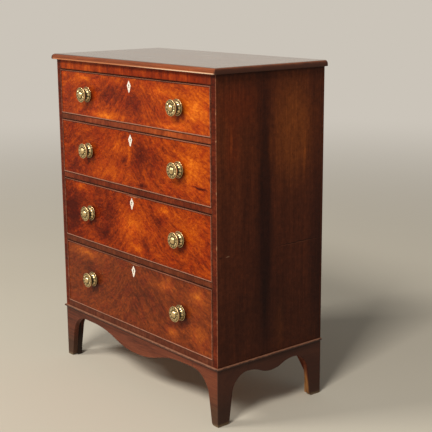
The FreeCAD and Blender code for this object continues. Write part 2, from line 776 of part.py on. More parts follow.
    def lock(self, lock_blank):
        """The lock with the bolt's way open at the top."""
        half = "(bolt_width/2 + bolt_gap)"
        way = box(f"{self.name}_bolt_way", (f"-{half}", half),
                  (f"{BOLT_FRONT} - bolt_gap", f"{BOLT_FRONT} + bolt_thick + bolt_gap"),
                  (f"{self.top} - bolt_height - bolt_gap", f"{self.top} + overrun"))
        node(f"{self.name}_lock", cut(f"{self.name}_lock", lock_blank, way))

    def bolt(self):
        """The bolt, drawn back flush with the lock's top."""
        name = f"{self.name}_lock_bolt"
        node(name, box(name, ("-bolt_width/2", "bolt_width/2"), (BOLT_FRONT, f"{BOLT_FRONT} + bolt_thick"),
                       (f"{self.top} - bolt_height", self.top)))

    def knobs(self):
        """Two turned knobs whose shanks go through the front, with a cap nut on the end of each."""
        pieces = []
        half = "nut_width/2"
        for side, word in SIDES.items():
            pieces.append(self.knob(f"{self.name}_{word}_knob", side))
            centre = f"{side}*knob_spread"
            pieces.append(box(f"{self.name}_{word}_nut", (f"{centre} - {half}", f"{centre} + {half}"),
                              (FRONT_INNER, f"{FRONT_INNER} + nut_thick"),
                              (f"{self.middle} - {half}", f"{self.middle} + {half}")))
        node(f"{self.name}_knobs", group(f"{self.name}_knobs", pieces))

    def knob(self, name, side):
        """A knob turned about its own axis: a rose on the drawer, a neck and a face with a boss."""
        body = new_body(name)
        corners = [("0", "front_thick"), ("shank_radius", "front_thick"), ("shank_radius", "0")]
        corners += [(f"knob_radius*{radius}", f"-knob_reach*{reach}") for radius, reach in KNOB_SHARES]
        turned = body.newObject("PartDesign::Revolution", f"{name}_turned")
        turned.Profile = outline(body, "XY", "0", [corners])
        turned.ReferenceAxis = (turned.Profile[0], ["V_Axis"])
        body.Tip = turned
        for axis, place in zip("xyz", (f"{side}*knob_spread", FRONT, self.middle)):
            bind(body, f"Placement.Base.{axis}", place)
        return body


def check():
    """Stops if anything failed to build, or if a cut took nothing away."""
    for thing in doc.Objects:
        if {"Invalid", "Error"} & set(thing.State):
            raise RuntimeError(f"{thing.Label} failed: {thing.State}")
        if thing.TypeId == "PartDesign::Pocket":
            if thing.Shape.Volume >= thing.BaseFeature.Shape.Volume:
                raise RuntimeError(f"{thing.Label} cuts nothing")
    for piece in nodes:
        if piece.Shape.isNull() or not piece.Shape.isValid() or not piece.Shape.Solids:
            raise RuntimeError(f"{piece.Label} has no valid solid")


top_board()
for each_side in SIDES:
    carcase_side(each_side)
for rail_name, (rail_size, underside, upper_side) in RAILS.items():
    rail(rail_name, rail_size, underside, upper_side, mortised=rail_name != "base_rail")
bottom_board()
back_boards()
drawer_runners()
drawer_stops()
base_bead()
aprons()
for each_side in SIDES:
    front_foot(each_side)
    back_foot(each_side)
foot_blocks()
for drawer_number in DRAWERS:
    Drawer(drawer_number).build()

doc.recompute()
check()
os.makedirs("parts", exist_ok=True)
for piece in nodes:
    piece.Shape.exportStep(f"parts/{piece.Label}.step")
    print(piece.Label, len(piece.Shape.Solids), round(piece.Shape.Volume))
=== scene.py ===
"""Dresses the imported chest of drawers: figured veneers, turned knobs, rounded cockbeads, light and camera."""

import logging
import math
from dataclasses import dataclass, field, replace
from enum import Enum
from typing import Any, Mapping, Optional, Sequence, Union

import bmesh
import bpy
import numpy as np
from mathutils import Matrix, Vector


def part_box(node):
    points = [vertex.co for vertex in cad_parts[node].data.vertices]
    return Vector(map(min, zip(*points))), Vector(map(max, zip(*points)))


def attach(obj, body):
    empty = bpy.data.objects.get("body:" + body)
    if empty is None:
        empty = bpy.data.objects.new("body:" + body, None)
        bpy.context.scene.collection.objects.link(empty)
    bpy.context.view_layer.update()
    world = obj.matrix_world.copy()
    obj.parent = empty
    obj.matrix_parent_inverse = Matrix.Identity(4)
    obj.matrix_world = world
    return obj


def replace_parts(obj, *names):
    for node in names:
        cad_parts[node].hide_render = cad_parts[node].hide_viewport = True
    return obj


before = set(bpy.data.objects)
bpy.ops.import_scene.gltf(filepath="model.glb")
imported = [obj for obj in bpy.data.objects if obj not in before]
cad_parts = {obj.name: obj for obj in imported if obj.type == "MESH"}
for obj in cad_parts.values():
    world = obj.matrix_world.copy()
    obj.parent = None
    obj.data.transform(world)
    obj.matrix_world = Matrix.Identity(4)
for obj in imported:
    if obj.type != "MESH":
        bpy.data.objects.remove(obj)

LOG = logging.getLogger("chest")
Colour = tuple[float, float, float]
Triple = tuple[float, float, float]

# A half size so large that a mark has no end that way.
FAR = 9.0
# A mark's patch is raised this many times and held to the mark's strength, so that its middle is even.
MARK_GAIN = 2.2
# How much wider than written the places in a veneer are drawn, because they fade out towards their rims.
PATCH_SPREAD = 1.35
# In a new piece, points nearer than the first become one, and slivers thinner than the second go.
MERGE_GAP, SLIVER = 1e-6, 1e-7
# Edges of a new piece that turn by more than this stay sharp.
SHARP_ANGLE = math.radians(40)
# How a CAD mesh is made ready for its bevel: points to weld, faces taken as flat, edges that are softened.
WELD_GAP, FLAT_ANGLE, BEVEL_ANGLE = 1e-5, math.radians(0.4), math.radians(32)
# The way that the back of the chest faces.
BACKWARDS = np.array((0.0, 1.0, 0.0))


def srgb(red: float, green: float, blue: float) -> Colour:
    """The linear colour of three screen values from 0 to 255.

    Args:
        red: the red value.
        green: the green value.
        blue: the blue value.

    Returns:
        The three linear values.
    """
    shares = np.array((red, green, blue)) / 255
    linear = np.where(shares <= 0.04045, shares / 12.92, ((shares + 0.055) / 1.055) ** 2.4)
    return tuple(float(value) for value in linear)


INK, RUST_RED, ORANGE = srgb(24, 9, 5), srgb(96, 38, 18), srgb(120, 59, 27)


class Axis(Enum):
    """The way the grain of a board runs."""

    X = 0
    Y = 1
    Z = 2

    def along(self, along: float, across: float = 1.0) -> Triple:
        """Scales for x, y and z: one for the grain's own axis, another for the other two."""
        return tuple(along if index == self.value else across for index in range(3))


class Signal:
    """One output of a shader node; sums written with it add their Math nodes."""

    def __init__(self, graph: "Graph", socket: bpy.types.NodeSocket) -> None:
        """Keeps the graph and the socket."""
        self.graph = graph
        self.socket = socket

    def __add__(self, other: "Value") -> "Signal":
        """Their sum."""
        return self.graph.math("ADD", self, other)

    __radd__ = __add__

    def __sub__(self, other: "Value") -> "Signal":
        """This less the other."""
        return self.graph.math("SUBTRACT", self, other)

    def __rsub__(self, other: "Value") -> "Signal":
        """The other less this."""
        return self.graph.math("SUBTRACT", other, self)

    def __mul__(self, other: "Value") -> "Signal":
        """Their product."""
        return self.graph.math("MULTIPLY", self, other)

    __rmul__ = __mul__

    def least(self, other: "Value") -> "Signal":
        """The smaller of the two."""
        return self.graph.math("MINIMUM", self, other)

    def most(self, other: "Value") -> "Signal":
        """The larger of the two."""
        return self.graph.math("MAXIMUM", self, other)

    def rise(self, low: float, high: float) -> "Signal":
        """A smooth step from 0 at one value to 1 at another, which may be the smaller.

        Args:
            low: the value where the step is 0.
            high: the value where the step is 1.

        Returns:
            The step.
        """
        turned = low > high
        step = self.graph.out("ShaderNodeMapRange", 0, {"interpolation_type": "SMOOTHSTEP"},
                              {"Value": self, "From Min": min(low, high), "From Max": max(low, high)})
        return 1 - step if turned else step


Value = Union[Signal, float]
Tint = Union[Signal, Colour]


class Graph:
    """The shader nodes of a material or of the world."""

    def __init__(self, owner: Union[bpy.types.Material, bpy.types.World]) -> None:
        """Starts without nodes.

        Args:
            owner: the material or the world that the nodes belong to.
        """
        owner.use_nodes = True
        self.owner = owner
        self.tree = owner.node_tree
        self.tree.nodes.clear()

    @classmethod
    def of_material(cls, name: str) -> "Graph":
        """The graph of a new material."""
        return cls(bpy.data.materials.new(name))

    def node(self, kind: str, settings: Optional[Mapping[str, Any]] = None,
             sockets: Optional[Mapping[Union[str, int], Any]] = None) -> bpy.types.Node:
        """Adds a node.

        Args:
            kind: the node's type.
            settings: its own settings, set first; "stops" are a ramp's places and colours.
            sockets: values or signals for its inputs, by name or number.

        Returns:
            The node.
        """
        node = self.tree.nodes.new(kind)
        for name, value in (settings or {}).items():
            if name == "stops":
                ramp = node.color_ramp
                while len(ramp.elements) < len(value):
                    ramp.elements.new(1.0)
                for element, (place, colour) in zip(ramp.elements, value):
                    element.position = place
                    element.color = (*colour, 1.0)
            else:
                setattr(node, name, value)
        for name, value in (sockets or {}).items():
            socket = node.inputs[name]
            if isinstance(value, Signal):
                self.tree.links.new(value.socket, socket)
            elif socket.type == "RGBA":
                socket.default_value = (*value, 1.0)
            else:
                socket.default_value = value
        return node

    def out(self, kind: str, output: Union[str, int], settings: Optional[Mapping[str, Any]] = None,
            sockets: Optional[Mapping[Union[str, int], Any]] = None) -> Signal:
        """Adds a node and gives one of its outputs, by name or number."""
        return Signal(self, self.node(kind, settings, sockets).outputs[output])

    def math(self, operation: str, *values: Value) -> Signal:
        """A Math node on one or more values."""
        return self.out("ShaderNodeMath", 0, {"operation": operation}, dict(enumerate(values)))

    def place(self) -> Signal:
        """The point on the piece, in Object coordinates."""
        return self.out("ShaderNodeTexCoord", "Object")

    def axes(self, point: Signal) -> tuple[Signal, Signal, Signal]:
        """The x, y and z of a point."""
        node = self.node("ShaderNodeSeparateXYZ", sockets={0: point})
        return tuple(Signal(self, output) for output in node.outputs)

    def point(self, x: Value, y: Value, z: Value) -> Signal:
        """A point from its x, y and z."""
        return self.out("ShaderNodeCombineXYZ", 0, sockets={0: x, 1: y, 2: z})

    def vectors(self, operation: str, first: Any, second: Any) -> Signal:
        """A Vector Math node on two vectors."""
        return self.out("ShaderNodeVectorMath", 0, {"operation": operation}, {0: first, 1: second})

    def stretch(self, point: Signal, scales: Triple) -> Signal:
        """A point with its x, y and z scaled; a pattern read there is drawn out where the scale is small."""
        return self.vectors("MULTIPLY", point, scales)

    def shift(self, point: Signal, along_x: float) -> Signal:
        """A point moved along x, so that a pattern read there is another part of it."""
        return self.vectors("ADD", point, (along_x, 0.0, 0.0))

    def noise(self, point: Signal, scale: float, detail: float = 2.0, rough: float = 0.5) -> Signal:
        """A noise from 0 to 1 about 0.5: swells to a metre, how many finer layers, and their strength."""
        return self.out("ShaderNodeTexNoise", 0, None,
                        {"Vector": point, "Scale": scale, "Detail": detail, "Roughness": rough})

    def wander(self, point: Signal, scale: float, reach: float) -> Signal:
        """The point moved about by a slow noise.

        Args:
            point: the point.
            scale: how many swells the noise has to a metre.
            reach: how far a point is moved at most, each way.

        Returns:
            The moved point.
        """
        noise = self.out("ShaderNodeTexNoise", 1, None, {"Vector": point, "Scale": scale, "Detail": 1.0})
        drift = self.vectors("SUBTRACT", noise, (0.5, 0.5, 0.5))
        return self.vectors("ADD", point, self.stretch(drift, (2 * reach,) * 3))

    def blend(self, factor: Value, first: Tint, second: Tint, mode: str = "MIX") -> Signal:
        """A mix of two colours, the first where the factor is 0 and the second where it is 1."""
        return self.out("ShaderNodeMix", 2, {"data_type": "RGBA", "blend_type": mode, "clamp_factor": True},
                        {0: factor, 6: first, 7: second})

    def tinted(self, share: Value, colour: Signal, tint: Colour) -> Signal:
        """A colour that is multiplied by a tint, to a share of the way."""
        return self.blend(share, colour, self.blend(1.0, colour, tint, "MULTIPLY"))

    def ramp(self, value: Value, stops: Sequence[tuple[float, Colour]]) -> Signal:
        """Colours laid out along a value from 0 to 1."""
        return self.out("ShaderNodeValToRGB", 0, {"stops": stops}, {0: value})

    def patch(self, point: Signal, centre: Triple, radii: Triple) -> Signal:
        """A soft round patch, 1 at its centre and 0 at its rim, with half sizes along x, y and z."""
        own = self.out("ShaderNodeMapping", 0, {"vector_type": "TEXTURE"},
                       {"Vector": point, "Location": centre, "Scale": radii})
        return self.out("ShaderNodeTexGradient", 1, {"gradient_type": "QUADRATIC_SPHERE"}, {"Vector": own})

    def edge(self, point: Signal, low: Triple, high: Triple) -> Signal:
        """How far a point on a board lies from the board's nearest edge.

        Of the three distances to the box's faces one is nothing on the surface, and the middle one is
        the way to the nearest edge.

        Args:
            point: the point on the piece.
            low: the board's lowest corner.
            high: its highest corner.

        Returns:
            The distance.
        """
        a, b, c = ((part - first).least(last - part)
                   for part, first, last in zip(self.axes(point), low, high))
        return a.least(b).most(a.most(b).least(c))

    def bump(self, height: Signal, depth: float, strength: float) -> Signal:
        """The normal of a surface with a height on it, where a height of 1 is a depth in metres."""
        return self.out("ShaderNodeBump", 0, None,
                        {"Height": height, "Distance": depth, "Strength": strength})

    def surface(self, **sockets: Any) -> bpy.types.Material:
        """Ends the graph in a Principled surface.

        Args:
            sockets: the surface's inputs, with _ for a space.

        Returns:
            The finished material.
        """
        named = {name.replace("_", " "): value for name, value in sockets.items()}
        shader = self.out("ShaderNodeBsdfPrincipled", 0, None, named)
        self.node("ShaderNodeOutputMaterial", sockets={"Surface": shader})
        return self.owner


@dataclass(frozen=True)
class Mark:
    """A soft place of another colour on a board, in metres; a stain tints the grain and the rest cover it."""

    centre: Triple
    radii: Triple
    colour: Colour
    strength: float = 1.0
    ragged: bool = True
    stain: bool = False


@dataclass(frozen=True)
class Layer:
    """One layer of a wood's figure: a noise drawn out along the grain, the longer the smaller its draw."""

    scale: float
    draw: float
    detail: float
    rough: float = 0.5

    def read(self, graph: Graph, point: Signal, grain: Axis, fineness: float = 1.0) -> Signal:
        """The layer's value at a point, from 0 to 1 about 0.5."""
        drawn = graph.stretch(point, grain.along(self.draw))
        return graph.noise(drawn, self.scale * fineness, self.detail, self.rough)


BANDS = Layer(13.0, 0.22, 2.0)
STREAKS = Layer(85.0, 0.10, 4.0, 0.6)
FIBRES = Layer(420.0, 0.08, 3.0, 0.6)
PORES = Layer(1900.0, 0.05, 1.0)


@dataclass(frozen=True)
class Timber:
    """A board with long streaks, fine fibres and pores, and edges that wear has paled or darkened.

    Widths and depths are in metres, and the rest are shares. The face is the veneer on the board's front.
    """

    name: str
    grain: Axis
    dark: Colour
    middle: Colour
    pale: Colour
    worn: Colour
    bands: float = 0.5
    streaks: float = 0.6
    fibres: float = 0.4
    pores: float = 0.45
    pore_shade: float = 0.35
    pore_rough: float = 0.12
    wear: float = 0.6
    wear_width: float = 0.0022
    wear_full: float = 0.0003
    wear_ragged: float = 0.006
    rough: float = 0.42
    smears: float = 0.16
    relief: float = 0.00025
    coat: float = 0.0
    coat_rough: float = 0.14
    specular: float = 0.5
    fineness: float = 1.0
    mottle: float = 0.0
    polished_above: float = 0.0
    polish_fade: float = 0.002
    veneer_depth: float = 0.0007
    marks: tuple[Mark, ...] = ()
    face: Optional["Timber"] = None

    @property
    def pore_colour(self) -> Colour:
        """The colour at the bottom of a pore."""
        return tuple(self.pore_shade * value for value in self.dark)

    def tone(self, graph: Graph, point: Signal) -> Signal:
        """The lightness of the wood: bands, streaks and fibres, each drawn out along the grain.

        Args:
            graph: the material's nodes.
            point: the point on the piece.

        Returns:
            A value about 0.5.
        """
        bent = graph.wander(graph.stretch(point, self.grain.along(0.35)), 7.0, 0.012)
        tone = 0.5
        for layer, share in ((BANDS, self.bands), (STREAKS, self.streaks), (FIBRES, self.fibres)):
            tone = tone + (layer.read(graph, bent, self.grain, self.fineness) - 0.5) * (2 * share)
        if self.mottle:
            tone = tone + (graph.noise(point, 75.0, 4.0, 0.7) - 0.5) * self.mottle
        return tone

    def colour(self, graph: Graph, tone: Signal) -> Signal:
        """The wood's colour for a tone."""
        return graph.ramp(tone, ((0.12, self.dark), (0.5, self.middle), (0.88, self.pale)))

    def pore_lines(self, graph: Graph, point: Signal) -> Signal:
        """Short dark pores along the grain."""
        return PORES.read(graph, point, self.grain).rise(0.58, 0.72)

    def edge_wear(self, graph: Graph, point: Signal, low: Triple, high: Triple) -> Signal:
        """How worn the wood is, ragged along the board's edges."""
        ragged = (graph.noise(point, 160.0, 3.0, 0.6) - 0.5) * self.wear_ragged
        return (graph.edge(point, low, high) + ragged).rise(self.wear_width, self.wear_full) * self.wear

    def behind_veneer(self, graph: Graph, point: Signal, front: float) -> Signal:
        """Nothing on the front face's veneer, and 1 on the core behind it."""
        return graph.math("GREATER_THAN", graph.axes(point)[1], front + self.veneer_depth)

    def marked(self, graph: Graph, point: Signal, colour: Signal) -> Signal:
        """The colour with the board's own marks laid on it, one after another.

        Args:
            graph: the material's nodes.
            point: the point on the piece.
            colour: the colour without marks.

        Returns:
            The colour with them.
        """
        bent = graph.wander(point, 60.0, 0.003) if any(mark.ragged for mark in self.marks) else point
        for mark in self.marks:
            share = graph.patch(bent if mark.ragged else point, mark.centre, mark.radii)
            share = (share * (MARK_GAIN * mark.strength)).least(mark.strength)
            if mark.stain:
                tint = tuple(stained / plain for stained, plain in zip(mark.colour, self.middle))
                colour = graph.tinted(share, colour, tint)
            else:
                colour = graph.blend(share, colour, mark.colour)
        return colour

    def finish(self, graph: Graph, colour: Signal, tone: Signal, pores: Signal) -> bpy.types.Material:
        """The polished surface over a colour.

        Args:
            graph: the material's nodes.
            colour: the wood's colour.
            tone: the wood's lightness, which gives it its relief too.
            pores: where its pores are.

        Returns:
            The material.
        """
        point = graph.place()
        smears = graph.noise(point, 16.0, 3.0)
        coat = self.coat
        if self.polished_above:
            height = graph.axes(point)[2]
            coat = height.rise(self.polished_above - self.polish_fade, self.polished_above) * self.coat
        return graph.surface(Base_Color=colour, Coat_Weight=coat, Coat_Roughness=self.coat_rough,
                             Roughness=self.rough + (smears - 0.5) * self.smears + pores * self.pore_rough,
                             Specular_IOR_Level=self.specular,
                             Normal=graph.bump(tone * 0.5 - pores * self.pores, self.relief, 0.6))

    def material(self, low: Triple, high: Triple) -> bpy.types.Material:
        """The finish of a board between two corners, with the veneer of its front where it has one.

        Args:
            low: the board's lowest corner.
            high: its highest corner.

        Returns:
            The material.
        """
        graph = Graph.of_material(self.name)
        point = graph.place()
        tone, pores = self.tone(graph, point), self.pore_lines(graph, point)
        colour = graph.blend(pores * self.pores, self.colour(graph, tone), self.pore_colour)
        colour = graph.blend(self.edge_wear(graph, point, low, high), colour, self.worn)
        colour = self.marked(graph, point, colour)
        if self.face:
            veneer = self.face.colour(graph, self.face.tone(graph, point))
            veneer = graph.blend(self.face.edge_wear(graph, point, low, high), veneer, self.face.worn)
            veneer = self.face.marked(graph, point, veneer)
            colour = graph.blend(self.behind_veneer(graph, point, low[1]), veneer, colour)
        return self.finish(graph, colour, tone, pores)


@dataclass(frozen=True)
class Patch:
    """A soft lighter or darker place in a veneer, from the middle of the drawer front, in metres."""

    x: float
    z: float
    wide: float
    high: float
    lift: float


FLAME_PLACES = (0.02, 0.28, 0.52, 0.76, 0.98)
RED_FLAME = tuple(zip(FLAME_PLACES, (
    (0.065, 0.007, 0.003), (0.155, 0.017, 0.004), (0.340, 0.043, 0.004), (0.560, 0.100, 0.005),
    (0.780, 0.190, 0.012))))
BROWN_FLAME = tuple(zip(FLAME_PLACES, (
    (0.048, 0.010, 0.004), (0.110, 0.020, 0.006), (0.225, 0.041, 0.008), (0.390, 0.083, 0.010),
    (0.600, 0.155, 0.014))))


@dataclass(frozen=True)
class FlameVeneer(Timber):
    """Mahogany cut from a fork of the tree: fibres run up a spine and sweep out and down from it."""

    spine: float = 0.0
    spine_round: float = 0.05
    sweep: float = 0.12
    draw: float = 0.11
    mottle: float = 0.70
    curl: float = 0.60
    flecks: float = 0.25
    blush: float = 0.5
    blush_tint: Colour = (0.92, 0.66, 1.0)
    level: float = 0.46
    seed: float = 0.0
    veneer_depth: float = 0.0009
    patches: tuple[Patch, ...] = ()
    stops: tuple[tuple[float, Colour], ...] = RED_FLAME

    def flame(self, graph: Graph, point: Signal, centre: Triple) -> Signal:
        """The figure: streaks along the flame's own coordinate, with mottle, curl, flecks and the patches.

        The flame's coordinate is the height plus a share of the logarithm of the distance from the spine.

        Args:
            graph: the material's nodes.
            point: the point on the piece.
            centre: the middle of the drawer front.

        Returns:
            A value about 0.5.
        """
        own = graph.vectors("SUBTRACT", point, centre)
        bent = graph.wander(graph.wander(own, 9.0, 0.020), 46.0, 0.005)
        x, _, z = graph.axes(bent)
        off = x - self.spine
        spread = graph.math("LOGARITHM", off * off + self.spine_round ** 2, math.e)
        flame = z + spread * (0.5 * self.sweep)
        streak = graph.point(flame, x * self.draw + self.seed, z * self.draw)
        tone = self.level
        for share, scale, detail, rough in ((self.bands, 38.0, 2.0, 0.5), (self.streaks, 105.0, 4.0, 0.66),
                                            (self.fibres, 560.0, 3.0, 0.6)):
            tone = tone + (graph.noise(streak, scale, detail, rough) - 0.5) * share
        shifted = graph.shift(bent, self.seed)
        for share, squeeze, scale, detail, rough in ((self.mottle, (1.0, 1.0, 1.6), 40.0, 5.0, 0.70),
                                                     (self.curl, (0.8, 1.0, 1.3), 125.0, 3.0, 0.65)):
            tone = tone + (graph.noise(graph.stretch(shifted, squeeze), scale, detail, rough) - 0.5) * share
        flecks = graph.noise(graph.stretch(shifted, (1.0, 1.0, 1.5)), 95.0, 2.0).rise(0.55, 0.68)
        tone = tone - flecks * self.flecks
        for patch in self.patches:
            radii = (patch.wide * PATCH_SPREAD, FAR, patch.high * PATCH_SPREAD)
            tone = tone + patch.lift * graph.patch(bent, (patch.x, 0.0, patch.z), radii)
        return tone

    def material(self, low: Triple, high: Triple) -> bpy.types.Material:
        """The veneer on the front face of a drawer front, and its plain core behind.

        Args:
            low: the drawer front's lowest corner.
            high: its highest corner.

        Returns:
            The material.
        """
        graph = Graph.of_material(self.name)
        point = graph.place()
        centre = tuple((first + last) / 2 for first, last in zip(low, high))
        tone, pores = self.flame(graph, point, centre), self.pore_lines(graph, point)
        red = graph.noise(graph.shift(point, self.seed), 24.0, 3.0).rise(0.46, 0.64)
        veneer = graph.tinted(red * self.blush, graph.ramp(tone, self.stops), self.blush_tint)
        veneer = graph.blend(pores * self.pores, veneer, self.pore_colour)
        veneer = self.marked(graph, point, veneer)
        core = self.colour(graph, self.tone(graph, point))
        inner = self.behind_veneer(graph, point, low[1])
        return self.finish(graph, graph.blend(inner, veneer, core), tone, pores)


@dataclass(frozen=True)
class Brass:
    """Old brass: bright where hands rub it, with a greenish brown patina in the hollows."""

    name: str = "old_brass"
    bright: Colour = (0.86, 0.63, 0.32)
    dull: Colour = (0.37, 0.265, 0.105)
    patina: Colour = (0.055, 0.042, 0.012)
    rough: float = 0.24

    def material(self) -> bpy.types.Material:
        """The finish, which reads how hollow each place is from the piece's own attribute.

        Returns:
            The material.
        """
        graph = Graph.of_material(self.name)
        point = graph.place()
        hollow = graph.out("ShaderNodeAttribute", "Fac", {"attribute_name": "hollow"})
        clouds, specks = graph.noise(point, 110.0, 4.0, 0.6), graph.noise(point, 900.0, 2.0)
        dirt = (hollow + (clouds - 0.5) * 0.6).rise(0.16, 0.62)
        tarnish = (clouds + (specks - 0.5) * 0.5).rise(0.38, 0.66)
        colour = graph.blend(dirt, graph.blend(tarnish * 0.75, self.bright, self.dull), self.patina)
        rough = self.rough + tarnish * 0.14 + dirt * 0.25 + (specks - 0.5) * 0.10
        return graph.surface(Base_Color=colour, Roughness=rough, Metallic=1 - dirt * 0.55,
                             Normal=graph.bump(clouds + specks * 0.4, 0.0002, 0.5))


@dataclass(frozen=True)
class Bone:
    """Polished bone: cream with faint darker lines, and dirt with painted shade in the keyhole."""

    name: str = "bone"
    pale: Colour = srgb(246, 240, 230)
    yellow: Colour = srgb(226, 210, 184)
    rough: float = 0.34
    clean_depth: float = 0.0003
    dirt_and_shade_depth: float = 0.0006

    def material(self, face: float) -> bpy.types.Material:
        """The finish of the escutcheons.

        Args:
            face: how far forward their faces lie; dirt and painted shade darken the keyhole's walls behind it.

        Returns:
            The material.
        """
        graph = Graph.of_material(self.name)
        point = graph.place()
        lines = graph.noise(graph.stretch(point, Axis.Z.along(0.08)), 1100.0, 2.0)
        clouds = graph.noise(point, 140.0, 3.0)
        colour = graph.blend((clouds * 0.7 + lines * 0.5).rise(0.48, 0.85), self.pale, self.yellow)
        # Dirt and painted shade darken the keyhole's walls behind the face.
        dirt = graph.axes(point)[1].rise(face + self.clean_depth, face + self.dirt_and_shade_depth)
        return graph.surface(Base_Color=graph.blend(dirt, colour, INK),
                             Roughness=self.rough + (clouds - 0.5) * 0.2,
                             Normal=graph.bump(lines, 0.0001, 0.5))


@dataclass(frozen=True)
class Iron:
    """Dark iron with a brown bloom and filed streaks."""

    name: str = "dark_iron"
    grey: Colour = srgb(96, 90, 82)
    rust: Colour = srgb(92, 58, 36)
    rough: float = 0.42

    def material(self) -> bpy.types.Material:
        """The finish of the locks, bolts, screws and nails.

        Returns:
            The material.
        """
        graph = Graph.of_material(self.name)
        point = graph.place()
        clouds = graph.noise(point, 120.0, 5.0, 0.65)
        filed = graph.noise(graph.stretch(point, Axis.X.along(0.06)), 900.0, 2.0)
        bloom = clouds.rise(0.48, 0.66)
        colour = graph.blend(bloom * 0.8, self.grey, self.rust)
        return graph.surface(Base_Color=colour, Metallic=0.9 - bloom * 0.7,
                             Roughness=self.rough + bloom * 0.3 + (filed - 0.5) * 0.2,
                             Normal=graph.bump(filed + clouds, 0.00015, 0.6))


class Shape:
    """Surfaces on grids, gathered into one mesh."""

    def __init__(self) -> None:
        """Starts with nothing."""
        self.points: list[np.ndarray] = []
        self.faces: list[np.ndarray] = []
        self.hollow: list[np.ndarray] = []
        self.count = 0

    def sheet(self, points: np.ndarray, round_rows: bool = False, round_columns: bool = False,
              hollow: Optional[np.ndarray] = None) -> None:
        """Adds a grid of points as four-sided faces, from each row to the next.

        Args:
            points: the points, rows by columns by three.
            round_rows: whether the last row joins the first.
            round_columns: whether the last column joins the first.
            hollow: how hollow each point lies, rows by columns.
        """
        rows, columns = points.shape[:2]
        number = np.arange(rows * columns).reshape(rows, columns) + self.count
        if round_rows:
            number = np.vstack((number, number[:1]))
        if round_columns:
            number = np.hstack((number, number[:, :1]))
        quads = np.stack((number[:-1, :-1], number[:-1, 1:], number[1:, 1:], number[1:, :-1]), axis=-1)
        self.points.append(points.reshape(-1, 3))
        self.faces.append(quads.reshape(-1, 4))
        self.hollow.append(np.zeros(rows * columns) if hollow is None else hollow.ravel())
        self.count += rows * columns

    def piece(self, name: str, body: str, slot: str, material: bpy.types.Material) -> bpy.types.Object:
        """Makes the mesh, closes its poles and lets it ride on a body.

        Args:
            name: the piece's name.
            body: the body that it moves with.
            slot: the record's material slot; not used.
            material: its finish.

        Returns:
            The piece.
        """
        mesh = bpy.data.meshes.new(name)
        mesh.from_pydata(np.concatenate(self.points), [], np.concatenate(self.faces))
        layer = mesh.attributes.new("hollow", "FLOAT", "POINT")
        layer.data.foreach_set("value", np.concatenate(self.hollow).astype(np.float32))
        work = bmesh.new()
        work.from_mesh(mesh)
        bmesh.ops.remove_doubles(work, verts=work.verts, dist=MERGE_GAP)
        bmesh.ops.dissolve_degenerate(work, edges=work.edges, dist=SLIVER)
        bmesh.ops.recalc_face_normals(work, faces=work.faces)
        work.to_mesh(mesh)
        work.free()
        mesh.polygons.foreach_set("use_smooth", np.ones(len(mesh.polygons), bool))
        mesh.set_sharp_from_angle(angle=SHARP_ANGLE)
        mesh.materials.append(material)
        piece = bpy.data.objects.new(name, mesh)
        bpy.context.scene.collection.objects.link(piece)
        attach(piece, body)
        LOG.info("%s: %d faces on %s", name, len(mesh.polygons), body)
        return piece


def smooth_line(places: np.ndarray, steps: int) -> np.ndarray:
    """A smooth line through given places.

    Between two places it is the cubic that leaves each along the line between that place's neighbours.

    Args:
        places: the places, one to a row.
        steps: how many points each stretch has.

    Returns:
        The points of the line, one to a row.
    """
    padded = np.vstack((2 * places[:1] - places[1:2], places, 2 * places[-1:] - places[-2:-1]))
    a, b, c, d = (part[:, None, :] for part in (padded[:-3], padded[1:-2], padded[2:-1], padded[3:]))
    t = (np.arange(steps) / steps)[None, :, None]
    bend, twist = 2 * a - 5 * b + 4 * c - d, 3 * b - a - 3 * c + d
    line = 0.5 * (2 * b + (c - a) * t + bend * t ** 2 + twist * t ** 3)
    return np.vstack((line.reshape(-1, places.shape[1]), places[-1:]))


def add_heads(shape: Shape, places: np.ndarray, way: np.ndarray, radius: float, height: float) -> None:
    """Adds the low domed heads of nails or screws.

    Round each place, the radius shrinks as the cosine of an angle and the height grows as its sine.

    Args:
        shape: the mesh that they go into.
        places: the middle of each head's seat, one to a row.
        way: the unit vector that the heads face.
        radius: a head's radius.
        height: how far a head stands out.
    """
    rings, steps_round = 5, 16
    rise = np.linspace(0, np.pi / 2, rings)[:, None, None]
    turn = np.linspace(0, 2 * np.pi, steps_round, endpoint=False)[None, :, None]
    # Any vector does here that lies along none of the three axes.
    slanting = (0.3, 0.5, 0.81)
    first = np.cross(way, slanting)
    first = first / np.linalg.norm(first)
    ring = np.cos(turn) * first + np.sin(turn) * np.cross(way, first)
    dome = radius * np.cos(rise) * ring + height * np.sin(rise) * way
    for place in places:
        shape.sheet(dome + place, round_columns=True)


def dress(node: str, material: bpy.types.Material, bevel: float) -> None:
    """Gives a CAD node its finish, and takes the sharpness off its edges.

    Args:
        node: the node's name.
        material: its finish.
        bevel: the width of the softened edges, or 0 to leave them.
    """
    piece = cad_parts[node]
    piece.data.materials.clear()
    piece.data.materials.append(material)
    if bevel:
        weld = piece.modifiers.new("weld", "WELD")
        weld.merge_threshold = WELD_GAP
        flat = piece.modifiers.new("flat", "DECIMATE")
        flat.decimate_type = "DISSOLVE"
        flat.angle_limit = FLAT_ANGLE
        soft = piece.modifiers.new("soft", "BEVEL")
        soft.width = bevel
        soft.segments = 2
        soft.limit_method = "ANGLE"
        soft.angle_limit = BEVEL_ANGLE
        soft.harden_normals = True
    LOG.info("%s: dressed", node)


def finish_node(node: str, finish: Timber, bevel: float) -> None:
    """Dresses a CAD node in a timber fitted to its own box."""
    low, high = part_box(node)
    dress(node, finish.material(tuple(low), tuple(high)), bevel)


